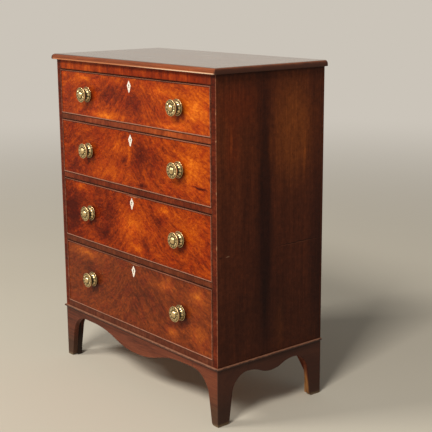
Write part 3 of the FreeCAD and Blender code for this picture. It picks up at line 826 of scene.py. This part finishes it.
SIDE_BOARD = Timber(
    "side_mahogany", Axis.Z, srgb(49, 20, 11), srgb(78, 36, 20), srgb(106, 52, 28), srgb(96, 56, 35),
    bands=0.40, streaks=0.22, fibres=0.24, mottle=0.8, rough=0.46, specular=0.09, wear=0.35)
STILE = Timber(
    "stile_veneer", Axis.X, srgb(52, 16, 7), srgb(86, 28, 11), srgb(124, 50, 23), srgb(166, 104, 76),
    bands=0.4, streaks=0.35, fibres=0.3, mottle=0.9, fineness=1.6, wear=0.5, wear_width=0.0036)
TOP_BOARD = Timber(
    "top_mahogany", Axis.X, srgb(90, 42, 20), srgb(140, 70, 34), srgb(170, 94, 48), srgb(172, 106, 64),
    bands=0.40, streaks=0.35, rough=0.30, specular=0.2, coat=0.92, wear=0.25)
FRIEZE = Timber(
    "frieze_veneer", Axis.Z, srgb(74, 20, 7), srgb(133, 42, 11), srgb(178, 74, 20), srgb(140, 66, 36),
    bands=0.35, streaks=0.34, fibres=0.30, mottle=0.8, rough=0.30, specular=0.06, fineness=1.6, wear=0.3)
RAIL = Timber(
    "rail_veneer", Axis.Z, srgb(78, 30, 17), srgb(122, 53, 29), srgb(158, 79, 45), srgb(140, 84, 56),
    bands=0.30, streaks=0.28, fibres=0.32, mottle=0.9, rough=0.36, specular=0.08, fineness=1.8, wear=0.4)
BASE_RAIL = replace(
    RAIL, name="base_rail_veneer", dark=srgb(60, 27, 17), middle=srgb(92, 44, 28), pale=srgb(122, 66, 42))
BEAD = Timber(
    "bead_mahogany", Axis.X, srgb(52, 24, 15), srgb(82, 44, 30), srgb(118, 70, 50), srgb(150, 104, 80),
    bands=0.35, streaks=0.5, rough=0.40, specular=0.25, wear=0.3)
FOOT = Timber(
    "foot_mahogany", Axis.X, srgb(62, 27, 15), srgb(104, 50, 31), srgb(134, 72, 45), srgb(86, 54, 38),
    bands=0.50, streaks=0.45, rough=0.48, specular=0.2, wear=0.55, wear_width=0.004)
COCKBEAD = Timber(
    "cockbead_mahogany", Axis.X, srgb(66, 30, 19), srgb(118, 63, 44), srgb(168, 106, 82), srgb(160, 108, 82),
    bands=0.4, streaks=0.6, rough=0.42, specular=0.25, wear=0.3)
OAK = Timber(
    "drawer_oak", Axis.Y, srgb(112, 76, 44), srgb(158, 116, 72), srgb(188, 148, 100), srgb(120, 84, 52),
    bands=0.35, streaks=0.5, fibres=0.5, pores=0.7, rough=0.62, specular=0.3, wear=0.5)
PINE = Timber(
    "pine", Axis.X, srgb(120, 76, 40), srgb(164, 112, 64), srgb(192, 146, 94), srgb(118, 78, 46),
    bands=0.5, streaks=0.4, fibres=0.4, pores=0.15, rough=0.68, specular=0.25, wear=0.5)


@dataclass
class Knob:
    """A turned knob: a stepped rose on the drawer, a neck, and a face of petals round a boss."""

    radius: float = 0.025
    reach: float = 0.031
    petals: int = 12
    petal_height: float = 0.0022
    petal_power: float = 0.6
    face_ring: tuple[float, float] = (0.47, 0.90)
    face_from: float = 0.7
    rose_ring: tuple[float, float] = (0.60, 0.90)
    rose_to: float = 0.4
    rose_lift: float = 0.4
    rose_spread: float = 0.3
    steps_round: int = 144
    nut_half: float = 0.0075
    nut_thick: float = 0.004
    nut_square: float = 9.0
    nut_steps: int = 64
    nut_hollow: float = 0.6

    def profile(self) -> np.ndarray:
        """Radius, reach and hollowness from the drawer outwards, as a smooth line through the turner's marks.

        Returns:
            The points of the line, one to a row.
        """
        drawn_radius, drawn_reach = 25.0, 31.0
        marks = np.array((
            (24.4, 0.0, 0.5), (24.8, 0.6, 0.0), (24.7, 1.4, 0.0), (23.9, 1.9, 0.3), (23.0, 1.8, 1.0),
            (22.4, 2.0, 1.0), (22.0, 2.9, 0.6), (21.4, 4.4, 0.3), (20.3, 6.3, 0.3), (18.7, 8.2, 0.5),
            (17.0, 9.8, 0.7), (15.5, 11.3, 0.9), (14.7, 12.9, 1.0), (15.0, 14.4, 1.0), (16.8, 16.0, 0.9),
            (19.6, 17.5, 0.8), (22.2, 18.7, 0.6), (23.8, 19.9, 0.4), (24.6, 21.4, 0.3), (24.6, 22.9, 0.2),
            (23.9, 24.2, 0.1), (22.9, 24.7, 0.0), (21.9, 24.3, 0.8), (20.9, 24.0, 0.9), (19.0, 24.1, 0.3),
            (16.6, 24.4, 0.2), (14.4, 24.3, 0.6), (12.8, 24.0, 1.0), (11.8, 24.2, 1.0), (11.0, 25.2, 0.5),
            (9.8, 26.9, 0.1), (7.8, 28.6, 0.0), (5.0, 30.1, 0.0), (2.2, 30.9, 0.0), (0.0, 31.0, 0.0),
        ))
        return smooth_line(marks * (self.radius / drawn_radius, self.reach / drawn_reach, 1.0), 4)

    @staticmethod
    def ring(share: np.ndarray, low: float, high: float, steep: float) -> np.ndarray:
        """One between two shares of the radius, falling to nothing at both."""
        return np.clip(np.minimum(share - low, high - share) * steep, 0, 1)

    def add(self, shape: Shape, place: Vector) -> None:
        """Adds the knob without its nut.

        Each point is the profile's turned about the axis. The face between the boss and the rim is raised
        by rounded petals, the size of the cosine of half as many turns as there are petals, and the rose is
        swelled by less than half as much between its own rim and the neck.

        Args:
            shape: the mesh that it goes into.
            place: where its axis meets the drawer's face.
        """
        radius, reach, hollow = self.profile().T
        turn = np.linspace(0, 2 * np.pi, self.steps_round, endpoint=False)
        lobe = np.abs(np.cos(self.petals / 2 * turn)) ** self.petal_power
        share, out_share = radius / self.radius, reach / self.reach
        face = self.ring(share, *self.face_ring, 12) * (out_share > self.face_from)
        rose = self.ring(share, *self.rose_ring, 9) * (out_share < self.rose_to)
        lift = face[:, None] * (lobe[None, :] - 0.5)
        swell = rose[:, None] * (lobe[None, :] - 0.5)
        out = reach[:, None] + self.petal_height * (lift + self.rose_lift * swell)
        wide = radius[:, None] + self.rose_spread * self.petal_height * swell
        points = np.stack((place.x + wide * np.cos(turn), place.y - out, place.z + wide * np.sin(turn)),
                          axis=-1)
        valley = (face + 0.7 * rose)[:, None] * (0.85 - 1.3 * lobe[None, :])
        shape.sheet(points, round_columns=True, hollow=np.clip(hollow[:, None] + valley, 0, 1))

    def add_nut(self, shape: Shape, place: Vector) -> None:
        """Adds the nut inside the drawer front: a square with rounded corners, drawn in at its outer rim.

        The square's radius is one over a root of the sum of the same powers of the sizes of the cosine and
        the sine, and each ring has its own share of it and its own depth.

        Args:
            shape: the mesh that it goes into.
            place: where its axis meets the front's inner face.
        """
        turn = np.linspace(0, 2 * np.pi, self.nut_steps, endpoint=False)
        across, up = np.cos(turn), np.sin(turn)
        power = self.nut_square
        square = 1 / (np.abs(across) ** power + np.abs(up) ** power) ** (1 / power)
        size = self.nut_half * np.array((0.0, 1.0, 1.0, 0.9, 0.62, 0.6, 0.0))[:, None]
        depth = self.nut_thick * np.array((0.0, 0.0, 0.75, 1.0, 1.0, 0.93, 0.9))[:, None]
        points = np.stack((place.x + size * square * across, place.y + depth + 0 * across,
                           place.z + size * square * up), axis=-1)
        shape.sheet(points, round_columns=True, hollow=np.full(points.shape[:2], self.nut_hollow))


@dataclass
class Drawer:
    """One drawer: its veneered front with cockbead, escutcheon, lock and knobs, and its oak box."""

    number: int
    veneer: FlameVeneer
    brass: bpy.types.Material
    bone: bpy.types.Material
    iron: bpy.types.Material
    box_bevel: float = 0.0005
    fitting_bevel: float = 0.0003
    bead_thick: float = 0.0032
    bead_proud: float = 0.0026
    bead_deep: float = 0.009
    bead_arc_points: int = 13
    bead_run_points: int = 48
    screw_inset: float = 0.006
    screw_radius: float = 0.0027
    screw_height: float = 0.0008
    knob_spread: float = 0.242
    knob: Knob = field(default_factory=Knob)

    @property
    def name(self) -> str:
        """The drawer's name, which is its body's too."""
        return f"drawer_{self.number}"

    def build(self) -> None:
        """Makes and dresses every piece of the drawer."""
        finish_node(f"{self.name}_front", self.veneer, 0.0)
        self.build_cockbead()
        self.build_knobs()
        dress(f"{self.name}_escutcheon", self.bone, self.fitting_bevel)
        grains = {"left_side": Axis.Y, "right_side": Axis.Y, "back": Axis.X, "bottom": Axis.X}
        for part, grain in grains.items():
            finish_node(f"{self.name}_{part}", replace(OAK, grain=grain), self.box_bevel)
        for part in ("lock", "lock_bolt"):
            dress(f"{self.name}_{part}", self.iron, self.fitting_bevel)
        self.build_lock_screws()

    def build_cockbead(self) -> None:
        """Makes the cockbead: a strip with a half-round nose carried round the front, mitred at its corners.

        A point's place along the path runs round a square of half size one, and is scaled by the front's
        half sizes less the profile's own inset, so that every inset's path is mitred at the corners.
        """
        node = f"{self.name}_cockbead"
        low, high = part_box(node)
        half = np.array((high.x - low.x, high.z - low.z)) / 2
        centre = np.array((high.x + low.x, high.z + low.z)) / 2
        radius = self.bead_thick / 2
        arc = np.linspace(0, np.pi, self.bead_arc_points)
        inset = np.concatenate(((0.0,), radius - radius * np.cos(arc), (self.bead_thick,)))
        back = low.y + self.bead_proud + self.bead_deep
        depth = np.concatenate(((back,), low.y + radius - radius * np.sin(arc), (back,)))
        run = np.linspace(-1, 1, self.bead_run_points, endpoint=False)
        ones = np.ones_like(run)
        path = np.concatenate((np.stack((run, -ones), 1), np.stack((ones, run), 1),
                               np.stack((-run, ones), 1), np.stack((-ones, -run), 1)))
        flat = centre + path[:, None, :] * (half - inset[None, :, None])
        points = np.stack((flat[..., 0], np.broadcast_to(depth, flat.shape[:2]), flat[..., 1]), axis=-1)
        shape = Shape()
        shape.sheet(points, round_rows=True, round_columns=True)
        # Wear and a painted highlight pale the nose of the bead's lower run.
        rub = Mark((0.0, low.y, low.z + 0.0012), (FAR, 0.006, 0.005), srgb(180, 128, 104), 0.5)
        material = replace(COCKBEAD, marks=(rub,)).material(tuple(low), tuple(high))
        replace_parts(shape.piece(f"{self.name}_bead", self.name, "mahogany", material), node)

    def build_lock_screws(self) -> None:
        """Makes the four screws of the lock, whose heads lie on the face inside the drawer."""
        low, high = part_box(f"{self.name}_lock")
        places = np.array([(x, high.y, z) for x in (low.x + self.screw_inset, high.x - self.screw_inset)
                           for z in (low.z + self.screw_inset, high.z - self.screw_inset)])
        shape = Shape()
        add_heads(shape, places, BACKWARDS, self.screw_radius, self.screw_height)
        shape.piece(f"{self.name}_lock_screws", self.name, "iron", self.iron)

    def build_knobs(self) -> None:
        """Makes the two knobs with their nuts."""
        node = f"{self.name}_knobs"
        low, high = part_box(node)
        front_low, front_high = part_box(f"{self.name}_front")
        shape = Shape()
        for side in (-1, 1):
            place = Vector((side * self.knob_spread, front_low.y, (low.z + high.z) / 2))
            self.knob.add(shape, place)
            self.knob.add_nut(shape, Vector((place.x, front_high.y, place.z)))
        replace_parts(shape.piece(f"{self.name}_turned_knobs", self.name, "brass", self.brass), node)


@dataclass
class Carcase:
    """The case that the drawers slide in."""

    iron: bpy.types.Material
    bevel: float = 0.0007
    inner_bevel: float = 0.0005
    drawer_edge: float = 0.398
    outer_edge: float = 0.42
    back_count: int = 4
    back_lap: float = 0.008
    back_seam: float = 0.4145
    middle_height: float = 0.6
    nail_inset: float = 0.016
    nail_shares: tuple[float, float] = (0.16, 0.84)
    nail_radius: float = 0.0034
    nail_height: float = 0.0011

    def build(self) -> None:
        """Dresses the top, the sides, the rails and the boards inside."""
        self.dress_top()
        self.dress_sides()
        self.dress_rails()
        self.dress_back()
        for node, grain in (("bottom_board", Axis.X), ("drawer_runners", Axis.Y), ("drawer_stops", Axis.X)):
            finish_node(node, replace(PINE, grain=grain), self.inner_bevel)

    def dress_back(self) -> None:
        """The back: rough boards with a dark seam at each lap, water stains at the foot, and nails."""
        low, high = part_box("back_boards")
        wide = (high.x - low.x) / self.back_count
        laps = [low.x + wide * index + self.back_lap / 2 for index in range(1, self.back_count)]
        seams = [Mark((x, high.y, self.middle_height), (0.0028, FAR, FAR), INK, 0.9, ragged=False)
                 for x in laps]
        tones = ((0, srgb(132, 88, 50)), (2, srgb(142, 100, 62)), (3, srgb(150, 98, 54)))
        tints = [Mark((low.x + wide * (index + 0.5), high.y, self.middle_height), (wide * 0.9, FAR, FAR),
                      colour, 0.6, stain=True)
                 for index, colour in tones]
        damp = Mark((0.0, high.y, low.z), (FAR, FAR, 0.16), srgb(96, 64, 38), 0.55, stain=True)
        finish_node("back_boards", replace(PINE, grain=Axis.Z, marks=(*tints, damp, *seams)), 0.0)
        places = np.array([(low.x + wide * (index + share), high.y, z)
                           for z in (low.z + self.nail_inset, high.z - self.nail_inset)
                           for index in range(self.back_count) for share in self.nail_shares])
        shape = Shape()
        add_heads(shape, places, BACKWARDS, self.nail_radius, self.nail_height)
        shape.piece("back_nails", "carcase", "iron", self.iron)

    def dress_top(self) -> None:
        """The top: polished above, with rubbed wear and a painted highlight along the foot of its front
        moulding, and painted shade on its ends.
        """
        low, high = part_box("top_board")
        faded = (Mark((0.0, 0.0, high.z), (FAR, FAR, 0.0025), srgb(102, 62, 37), ragged=False, stain=True),
                 Mark((low.x, low.y, high.z), (0.55, 0.42, 0.003), srgb(124, 64, 34), 0.9, stain=True))
        # Rubbed wear and a painted highlight: pale lines along the foot of the front moulding.
        worn_highlights = (Mark((0.0, low.y, low.z + 0.002), (FAR, 0.010, 0.0042), srgb(206, 132, 88), 0.7,
                     ragged=False),
                Mark((0.30, low.y, low.z + 0.0016), (0.42, 0.010, 0.0030), srgb(246, 214, 182), 0.85,
                     ragged=False))
        sides = (low.x, high.x)
        # Painted shade on both end mouldings, and a darker painted line along their top edges.
        dull = [Mark((x, 0.0, low.z), (0.012, FAR, 0.03), srgb(62, 30, 17), 0.95) for x in sides]
        shaded_lips = [Mark((x, 0.0, high.z - 0.003), (0.006, FAR, 0.006), INK, 0.8, ragged=False) for x in sides]
        top = replace(TOP_BOARD, marks=(*faded, *worn_highlights, *dull, *shaded_lips), polished_above=high.z)
        finish_node("top_board", top, 0.0)

    def dress_sides(self) -> None:
        """The sides: upright grain with the stains of age and a painted shadow under the top, and a
        cross-grained veneer on the front edge with painted shade by the drawers.
        """
        low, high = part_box("right_side")
        front, top = low.y, high.z
        stains = [Mark((0.0, front + y, z), (FAR, wide, tall), colour, strength, stain=True)
                  for y, z, wide, tall, colour, strength in (
                      (0.210, 0.20, 0.60, 0.52, srgb(50, 22, 13), 0.60),
                      (0.200, 0.88, 0.60, 0.30, srgb(98, 46, 22), 0.55),
                      (0.185, 0.60, 0.050, 0.80, srgb(37, 14, 10), 0.80),
                      (0.080, top - 0.09, 0.13, 0.10, RUST_RED, 0.50),
                      (0.060, 0.83, 0.045, 0.14, RUST_RED, 0.45),
                      (0.055, 0.85, 0.008, 0.07, ORANGE, 0.40),
                      (0.295, 0.86, 0.12, 0.26, srgb(122, 64, 30), 0.65),
                      (0.205, 0.82, 0.012, 0.09, ORANGE, 0.35),
                      (0.345, 0.78, 0.010, 0.09, ORANGE, 0.40),
                      (0.395, 0.48, 0.05, 0.50, srgb(43, 18, 14), 0.65),
                      (0.075, 0.30, 0.07, 0.14, srgb(67, 30, 18), 0.30),
                      (0.245, 0.27, 0.035, 0.12, srgb(98, 50, 24), 0.45),
                      (0.385, 0.23, 0.05, 0.05, srgb(80, 40, 22), 0.30),
                  )]
        seam = Mark((0.0, front + self.back_seam, self.middle_height), (FAR, 0.0022, FAR), INK, 0.55)
        # Painted shadow under the top's overhang, along the side's top edge.
        shade = Mark((0.0, front, top), (FAR, FAR, 0.012), INK, 0.6)
        cracks = [Mark((self.outer_edge, front + y, z), (0.01, wide, tall), colour, strength)
                  for y, z, wide, tall, colour, strength in (
                      (0.325, 0.5195, 0.14, 0.0026, srgb(30, 14, 9), 0.9),
                      (0.325, 0.5165, 0.13, 0.0018, srgb(140, 88, 60), 0.18),
                      (0.040, 0.5190, 0.010, 0.003, srgb(170, 130, 100), 0.45),
                      (0.012, 0.5200, 0.008, 0.006, INK, 0.6),
                  )]
        # Painted shade in the gaps beside the drawers, on the front veneer's inner edges.
        edges = [Mark((x, front, 0.0), (0.0045, FAR, FAR), INK, 0.75, ragged=False)
                 for x in (self.drawer_edge, -self.drawer_edge)]
        heights = ((0.94, 0.010), (0.86, 0.006), (0.71, 0.008), (0.55, 0.012), (0.33, 0.008))
        chips = [Mark((self.outer_edge, front, z), (0.005, 0.005, tall), srgb(190, 140, 104), 0.5)
                 for z, tall in heights]
        for node, scars, nicks in (("left_side", (), ()), ("right_side", cracks, chips)):
            face = replace(STILE, marks=(*edges, *nicks))
            side = replace(SIDE_BOARD, marks=(*stains, seam, shade, *scars), face=face)
            finish_node(node, side, self.bevel)

    def dress_rails(self) -> None:
        """The rails: plain wood faced with short upright grain, with painted shade along the gaps over and
        under the drawers.
        """
        veneers = {"frieze_rail": FRIEZE, "divider_rail_1": RAIL, "divider_rail_2": RAIL,
                   "divider_rail_3": RAIL, "base_rail": BASE_RAIL}
        tones = {"divider_rail_1": ((-0.42, 0.22, srgb(96, 45, 25)), (0.20, 0.30, srgb(146, 62, 24))),
                 "divider_rail_2": ((0.06, 0.90, srgb(98, 34, 12)),),
                 "divider_rail_3": ((-0.20, 1.60, srgb(93, 42, 22)),)}
        for node, veneer in veneers.items():
            low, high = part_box(node)
            marks = [Mark((x, low.y, low.z), (reach, FAR, FAR), colour, 0.9, ragged=False, stain=True)
                     for x, reach, colour in tones.get(node, ())]
            # Painted shade in the gaps over and under the drawers, along the rails' top and bottom edges.
            marks.append(Mark((0.0, low.y, high.z), (FAR, FAR, 0.0035), INK, 0.7, ragged=False))
            if node != "base_rail":
                marks.append(Mark((0.0, low.y, low.z), (FAR, FAR, 0.0055), INK, 0.9, ragged=False))
            if node == "frieze_rail":
                marks += [Mark((high.x, low.y, low.z), (0.09, FAR, FAR), srgb(84, 30, 18), 0.6),
                          Mark((low.x + 0.1, low.y, low.z), (0.3, FAR, FAR), srgb(160, 62, 16), 0.6,
                               stain=True)]
            face = replace(veneer, marks=tuple(marks))
            rail = replace(PINE, face=face, rough=veneer.rough, specular=veneer.specular)
            finish_node(node, rail, self.bevel)


@dataclass
class Plinth:
    """The bead, the aprons and the bracket feet under the case."""

    bevel: float = 0.0012
    block_bevel: float = 0.0008
    half_width: float = 0.4205
    sawn_edge: float = 0.4085
    inner_corner: float = 0.385
    bare: Colour = srgb(158, 108, 60)
    dirt_and_shade: Colour = srgb(36, 23, 15)

    def build(self) -> None:
        """Dresses the bead, the aprons, the feet and the blocks inside them."""
        low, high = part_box("base_bead")
        # Wear and a painted highlight pale the bead's top edge.
        rub = Mark((0.0, low.y, high.z), (FAR, FAR, 0.004), srgb(170, 118, 90), 0.5)
        finish_node("base_bead", replace(BEAD, marks=(*self.shaded_flanks(0.012), rub)), 0.0)
        for node in ("front_apron", "front_left_foot", "front_right_foot"):
            finish_node(node, replace(FOOT, marks=self.foot_marks(node)), self.bevel)
        for node in ("side_aprons", "back_left_foot", "back_right_foot"):
            finish_node(node, replace(FOOT, grain=Axis.Y, marks=self.foot_marks(node)), 0.0)
        low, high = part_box("foot_blocks")
        # Dirt and painted shade darken the blocks towards the front and the top.
        dirt = (Mark((0.0, low.y, 0.09), (FAR, 0.12, FAR), self.dirt_and_shade),
                Mark((0.0, 0.0, high.z), (FAR, FAR, 0.11), self.dirt_and_shade))
        blocks = replace(PINE, grain=Axis.Z, middle=self.bare, marks=dirt)
        finish_node("foot_blocks", blocks, self.block_bevel)

    def foot_marks(self, node: str) -> tuple[Mark, ...]:
        """Scuffs near the floor, painted shade under the bead and on the outer faces, dirt and painted shade
        inside a front foot, and bare wood on the sawn edge of a back foot.

        Args:
            node: the foot's or the apron's name.

        Returns:
            The marks.
        """
        low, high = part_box(node)
        scuff = Mark((0.0, 0.0, 0.0), (FAR, FAR, 0.075), srgb(84, 58, 42), 0.55)
        # Painted shade along the top of the foot or apron, under the bead.
        shade = Mark((0.0, 0.0, high.z), (FAR, FAR, 0.007), INK, 0.5, ragged=False)
        toe = Mark((0.0, 0.0, 0.0), (FAR, FAR, 0.013), srgb(112, 92, 68), 0.8)
        marks = (scuff, *self.shaded_flanks(0.006), shade, toe)
        if node.startswith("back"):
            x = math.copysign(self.sawn_edge, low.x)
            return *marks, Mark((x, high.y - 0.045, 0.045), (0.0115, 0.030, 0.075), self.bare)
        if node.startswith("front") and node.endswith("foot"):
            x = math.copysign(self.inner_corner, low.x)
            dull = Mark((0.0, 0.0, 0.0), (FAR, FAR, 0.16), srgb(66, 38, 25), ragged=False, stain=True)
            # Dirt and painted shade inside the front foot, at its inner corner.
            return dull, *marks, Mark((x, low.y + 0.076, 0.06), (0.036, 0.059, 0.25), self.dirt_and_shade)
        return marks

    def shaded_flanks(self, deep: float) -> tuple[Mark, ...]:
        """Painted shade on the outer faces of both sides, to a given depth."""
        return tuple(Mark((x, 0.0, 0.1), (deep, FAR, FAR), srgb(48, 24, 16), 0.8, ragged=False)
                     for x in (-self.half_width, self.half_width))


@dataclass(frozen=True)
class Lamp:
    """A square soft box that faces the middle of the front; angles in degrees, to the right and up."""

    name: str
    azimuth: float
    elevation: float
    distance: float
    watts: float
    size: float = 2.0
    colour: Colour = (1.0, 0.955, 0.885)
    aim: Triple = (0.0, -0.2, 0.6)

    def hang(self) -> None:
        """Puts the lamp into the scene."""
        turn, lift = math.radians(self.azimuth), math.radians(self.elevation)
        way = Vector((math.sin(turn) * math.cos(lift), -math.cos(turn) * math.cos(lift), math.sin(lift)))
        lamp = bpy.data.lights.new(self.name, "AREA")
        lamp.shape = "SQUARE"
        lamp.size = self.size
        lamp.energy = self.watts
        lamp.color = self.colour
        box = bpy.data.objects.new(self.name, lamp)
        box.location = Vector(self.aim) + way * self.distance
        box.rotation_euler = way.to_track_quat("Z", "Y").to_euler()
        bpy.context.scene.collection.objects.link(box)


@dataclass
class Studio:
    """The floor, the light and the camera."""

    floor_colour: Colour = srgb(206, 199, 184)
    floor_clouds: Colour = srgb(198, 190, 175)
    floor_half: float = 400.0
    fade_start: float = 1.0
    fade_end: float = 7.0
    backdrop: Colour = srgb(203, 196, 185)
    fill: float = 0.2
    fill_colour: Colour = (0.99, 0.97, 0.92)
    lamps: tuple[Lamp, ...] = (Lamp("key", 27.0, 44.0, 8.0, 455.0), Lamp("left", -29.0, 40.0, 7.5, 265.0))
    lens: float = 86.03
    film: float = 36.0
    sight: float = 1000.0
    eye: Triple = (2.6252, -2.0108, 1.2946)
    yaw: float = -50.60
    pitch: float = 12.78
    roll: float = -0.43

    def build(self) -> None:
        """Sets up everything that isn't part of the object."""
        bpy.context.scene.view_settings.view_transform = "Standard"
        self.build_floor()
        self.build_world()
        for lamp in self.lamps:
            lamp.hang()
        self.build_camera()

    def build_floor(self) -> None:
        """Lays a wide pale floor with faint clouds in its colour, which fades into the backdrop far off.

        The floor is the flat grid of two by two points at plus and minus its half size.
        """
        side = np.array((-1.0, 1.0)) * self.floor_half
        across, along = np.meshgrid(side, side)
        mesh = bpy.data.meshes.new("floor")
        mesh.from_pydata(np.stack((across, along, 0 * across), -1).reshape(-1, 3), [], [(0, 1, 3, 2)])
        graph = Graph.of_material("pale_floor")
        point = graph.place()
        clouds = graph.noise(point, 0.8, 3.0).rise(0.3, 0.7) * 0.25
        colour = graph.blend(clouds, self.floor_colour, self.floor_clouds)
        near = graph.out("ShaderNodeBsdfPrincipled", 0, None,
                         {"Base Color": colour, "Roughness": 0.85, "Specular IOR Level": 0.2})
        far = graph.out("ShaderNodeEmission", 0, None, {"Color": self.backdrop, "Strength": 1.0})
        distance = graph.out("ShaderNodeVectorMath", "Value", {"operation": "LENGTH"}, {0: point})
        share = distance.rise(self.fade_start, self.fade_end) * self.seen(graph)
        shader = graph.out("ShaderNodeMixShader", 0, None, {0: share, 1: near, 2: far})
        graph.node("ShaderNodeOutputMaterial", None, {"Surface": shader})
        mesh.materials.append(graph.owner)
        floor = bpy.data.objects.new("floor", mesh)
        bpy.context.scene.collection.objects.link(floor)

    def seen(self, graph: Graph) -> Signal:
        """One for what the camera sees, straight or in a reflection, and nothing for what only lights.

        Args:
            graph: the nodes that it is added to.

        Returns:
            The value.
        """
        path = graph.node("ShaderNodeLightPath")
        camera, glossy, through = (Signal(graph, path.outputs[name])
                                   for name in ("Is Camera Ray", "Is Glossy Ray", "Is Transmission Ray"))
        return camera.most(glossy).most(through)

    def build_world(self) -> None:
        """A plain grey-white light from all round; the eye and reflections see the backdrop instead."""
        world = bpy.data.worlds.new("studio")
        bpy.context.scene.world = world
        graph = Graph(world)
        light = graph.out("ShaderNodeBackground", 0, None, {"Color": self.fill_colour, "Strength": self.fill})
        pale = graph.out("ShaderNodeBackground", 0, None, {"Color": self.backdrop, "Strength": 1.0})
        shader = graph.out("ShaderNodeMixShader", 0, None, {0: self.seen(graph), 1: light, 2: pale})
        graph.node("ShaderNodeOutputWorld", None, {"Surface": shader})

    def build_camera(self) -> None:
        """Puts the camera where the photograph was taken from."""
        yaw, pitch, roll = (math.radians(angle) for angle in (self.yaw, self.pitch, self.roll))
        ahead = Vector((math.sin(yaw) * math.cos(pitch), math.cos(yaw) * math.cos(pitch), -math.sin(pitch)))
        level = Vector((math.cos(yaw), -math.sin(yaw), 0.0))
        upright = level.cross(ahead)
        right = level * math.cos(roll) + upright * math.sin(roll)
        up = upright * math.cos(roll) - level * math.sin(roll)
        data = bpy.data.cameras.new("camera")
        data.lens = self.lens
        data.sensor_width = self.film
        data.clip_end = self.sight
        camera = bpy.data.objects.new("camera", data)
        turn = Matrix((right, up, -ahead)).transposed().to_4x4()
        camera.matrix_world = Matrix.Translation(self.eye) @ turn
        bpy.context.scene.collection.objects.link(camera)
        bpy.context.scene.camera = camera


def veneer_marks(number: int) -> tuple[Mark, ...]:
    """The marks on a drawer front, painted shadow and shade among them.

    A painted shadow lies beside and below each knob, painted shade darkens the veneer along the cockbead,
    and a pale line is rubbed over the keyholes of the lower two.

    Args:
        number: the drawer's number.

    Returns:
        The marks.
    """
    low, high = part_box(f"drawer_{number}_front")
    left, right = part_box(f"drawer_{number}_knobs")
    reach = (right.z - left.z) / 2
    # Painted shadow of each knob, offset to its right and below it.
    marks = [Mark((x + 0.65 * reach, low.y, left.z + 0.75 * reach), (1.8 * reach, FAR, 1.8 * reach),
                  srgb(48, 18, 10), 0.9, stain=True) for x in (left.x + reach, right.x - reach)]
    # Painted shade along the cockbead, on all four edges of the front.
    marks += [Mark((x, low.y, low.z), (0.006, FAR, FAR), INK, 0.55, ragged=False) for x in (low.x, high.x)]
    marks += [Mark((low.x, low.y, z), (FAR, FAR, 0.006), INK, 0.6, ragged=False) for z in (low.z, high.z)]
    if number > 2:
        marks.append(Mark((0.010, low.y, high.z - 0.0055), (0.055, FAR, 0.0028), srgb(170, 122, 92), 0.7))
    return tuple(marks)


def flames() -> dict[int, FlameVeneer]:
    """The veneers of the four drawer fronts, each with its own spine and patches.

    Returns:
        The veneer of each drawer's number.
    """
    seed_step = 1.7
    common = dict(grain=Axis.X, dark=srgb(84, 40, 22), middle=srgb(136, 72, 40), pale=srgb(170, 104, 62),
                  worn=srgb(180, 120, 80), bands=0.30, streaks=0.52, fibres=0.45, pores=0.25, rough=0.28,
                  coat=0.02)
    figures = {
        1: (dict(spine=0.03, level=0.49, flecks=0.08, specular=0.07),
            ((.318, 0, .13, .08, .42), (.215, -.055, .10, .02, .35), (-.135, -.055, .11, .02, .55),
             (-.255, .05, .07, .02, .35), (-.08, .05, .05, .018, .25), (.16, .04, .09, .02, .3),
             (-.10, .007, .12, .045, -.30), (.025, -.012, .06, .06, -.32), (-.36, -.02, .06, .06, -.12))),
        2: (dict(spine=0.0, level=0.46, flecks=0.07, specular=0.04),
            ((.30, .01, .12, .09, .46), (-.095, -.053, .12, .04, .24), (-.08, .03, .05, .05, .25),
             (-.008, .01, .015, .035, .35), (.048, .014, .05, .06, -.45), (.127, .01, .07, .06, -.2),
             (.055, -.07, .035, .012, -.5), (-.04, -.01, .03, .02, -.2), (-.35, 0, .09, .12, -.12),
             (-.33, -.06, .09, .05, -.25), (.345, -.041, .05, .004, -.9))),
        3: (dict(spine=0.02, level=0.44, flecks=0.10, specular=0.03),
            ((-.36, -.01, .13, .15, -.55), (-.295, .08, .07, .018, .45), (-.016, 0, .14, .09, .38),
             (.024, -.066, .05, .03, .3), (.143, .034, .06, .045, -.2), (.072, -.05, .035, .03, -.3),
             (.30, .03, .10, .08, .3), (.175, .075, .07, .02, .35), (-.18, -.05, .07, .03, -.35),
             (-.14, .01, .12, .14, -.28))),
        4: (dict(spine=0.0, level=0.41, flecks=0.05, mottle=0.55, specular=0.07, stops=BROWN_FLAME),
            ((-.28, .087, .13, .03, .45), (.16, .07, .09, .03, .4), (.335, .065, .07, .06, .5),
             (.207, -.07, .05, .03, .5), (.04, .01, .14, .06, -.18), (-.255, .02, .07, .05, -.2),
             (.33, -.05, .08, .06, .32))),
    }
    return {number: FlameVeneer(name=f"flame_veneer_{number}", seed=seed_step * number,
                                patches=tuple(Patch(*row) for row in rows), marks=veneer_marks(number),
                                **common, **own)
            for number, (own, rows) in figures.items()}


def main() -> None:
    """Builds the studio and the chest."""
    logging.basicConfig(level=logging.INFO, format="%(message)s")
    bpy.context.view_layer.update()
    Studio().build()
    brass, iron = Brass().material(), Iron().material()
    bone = Bone().material(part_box("drawer_1_escutcheon")[0].y)
    Carcase(iron).build()
    Plinth().build()
    for number, veneer in flames().items():
        Drawer(number, veneer, brass, bone, iron).build()


if __name__ == "__main__":
    main()
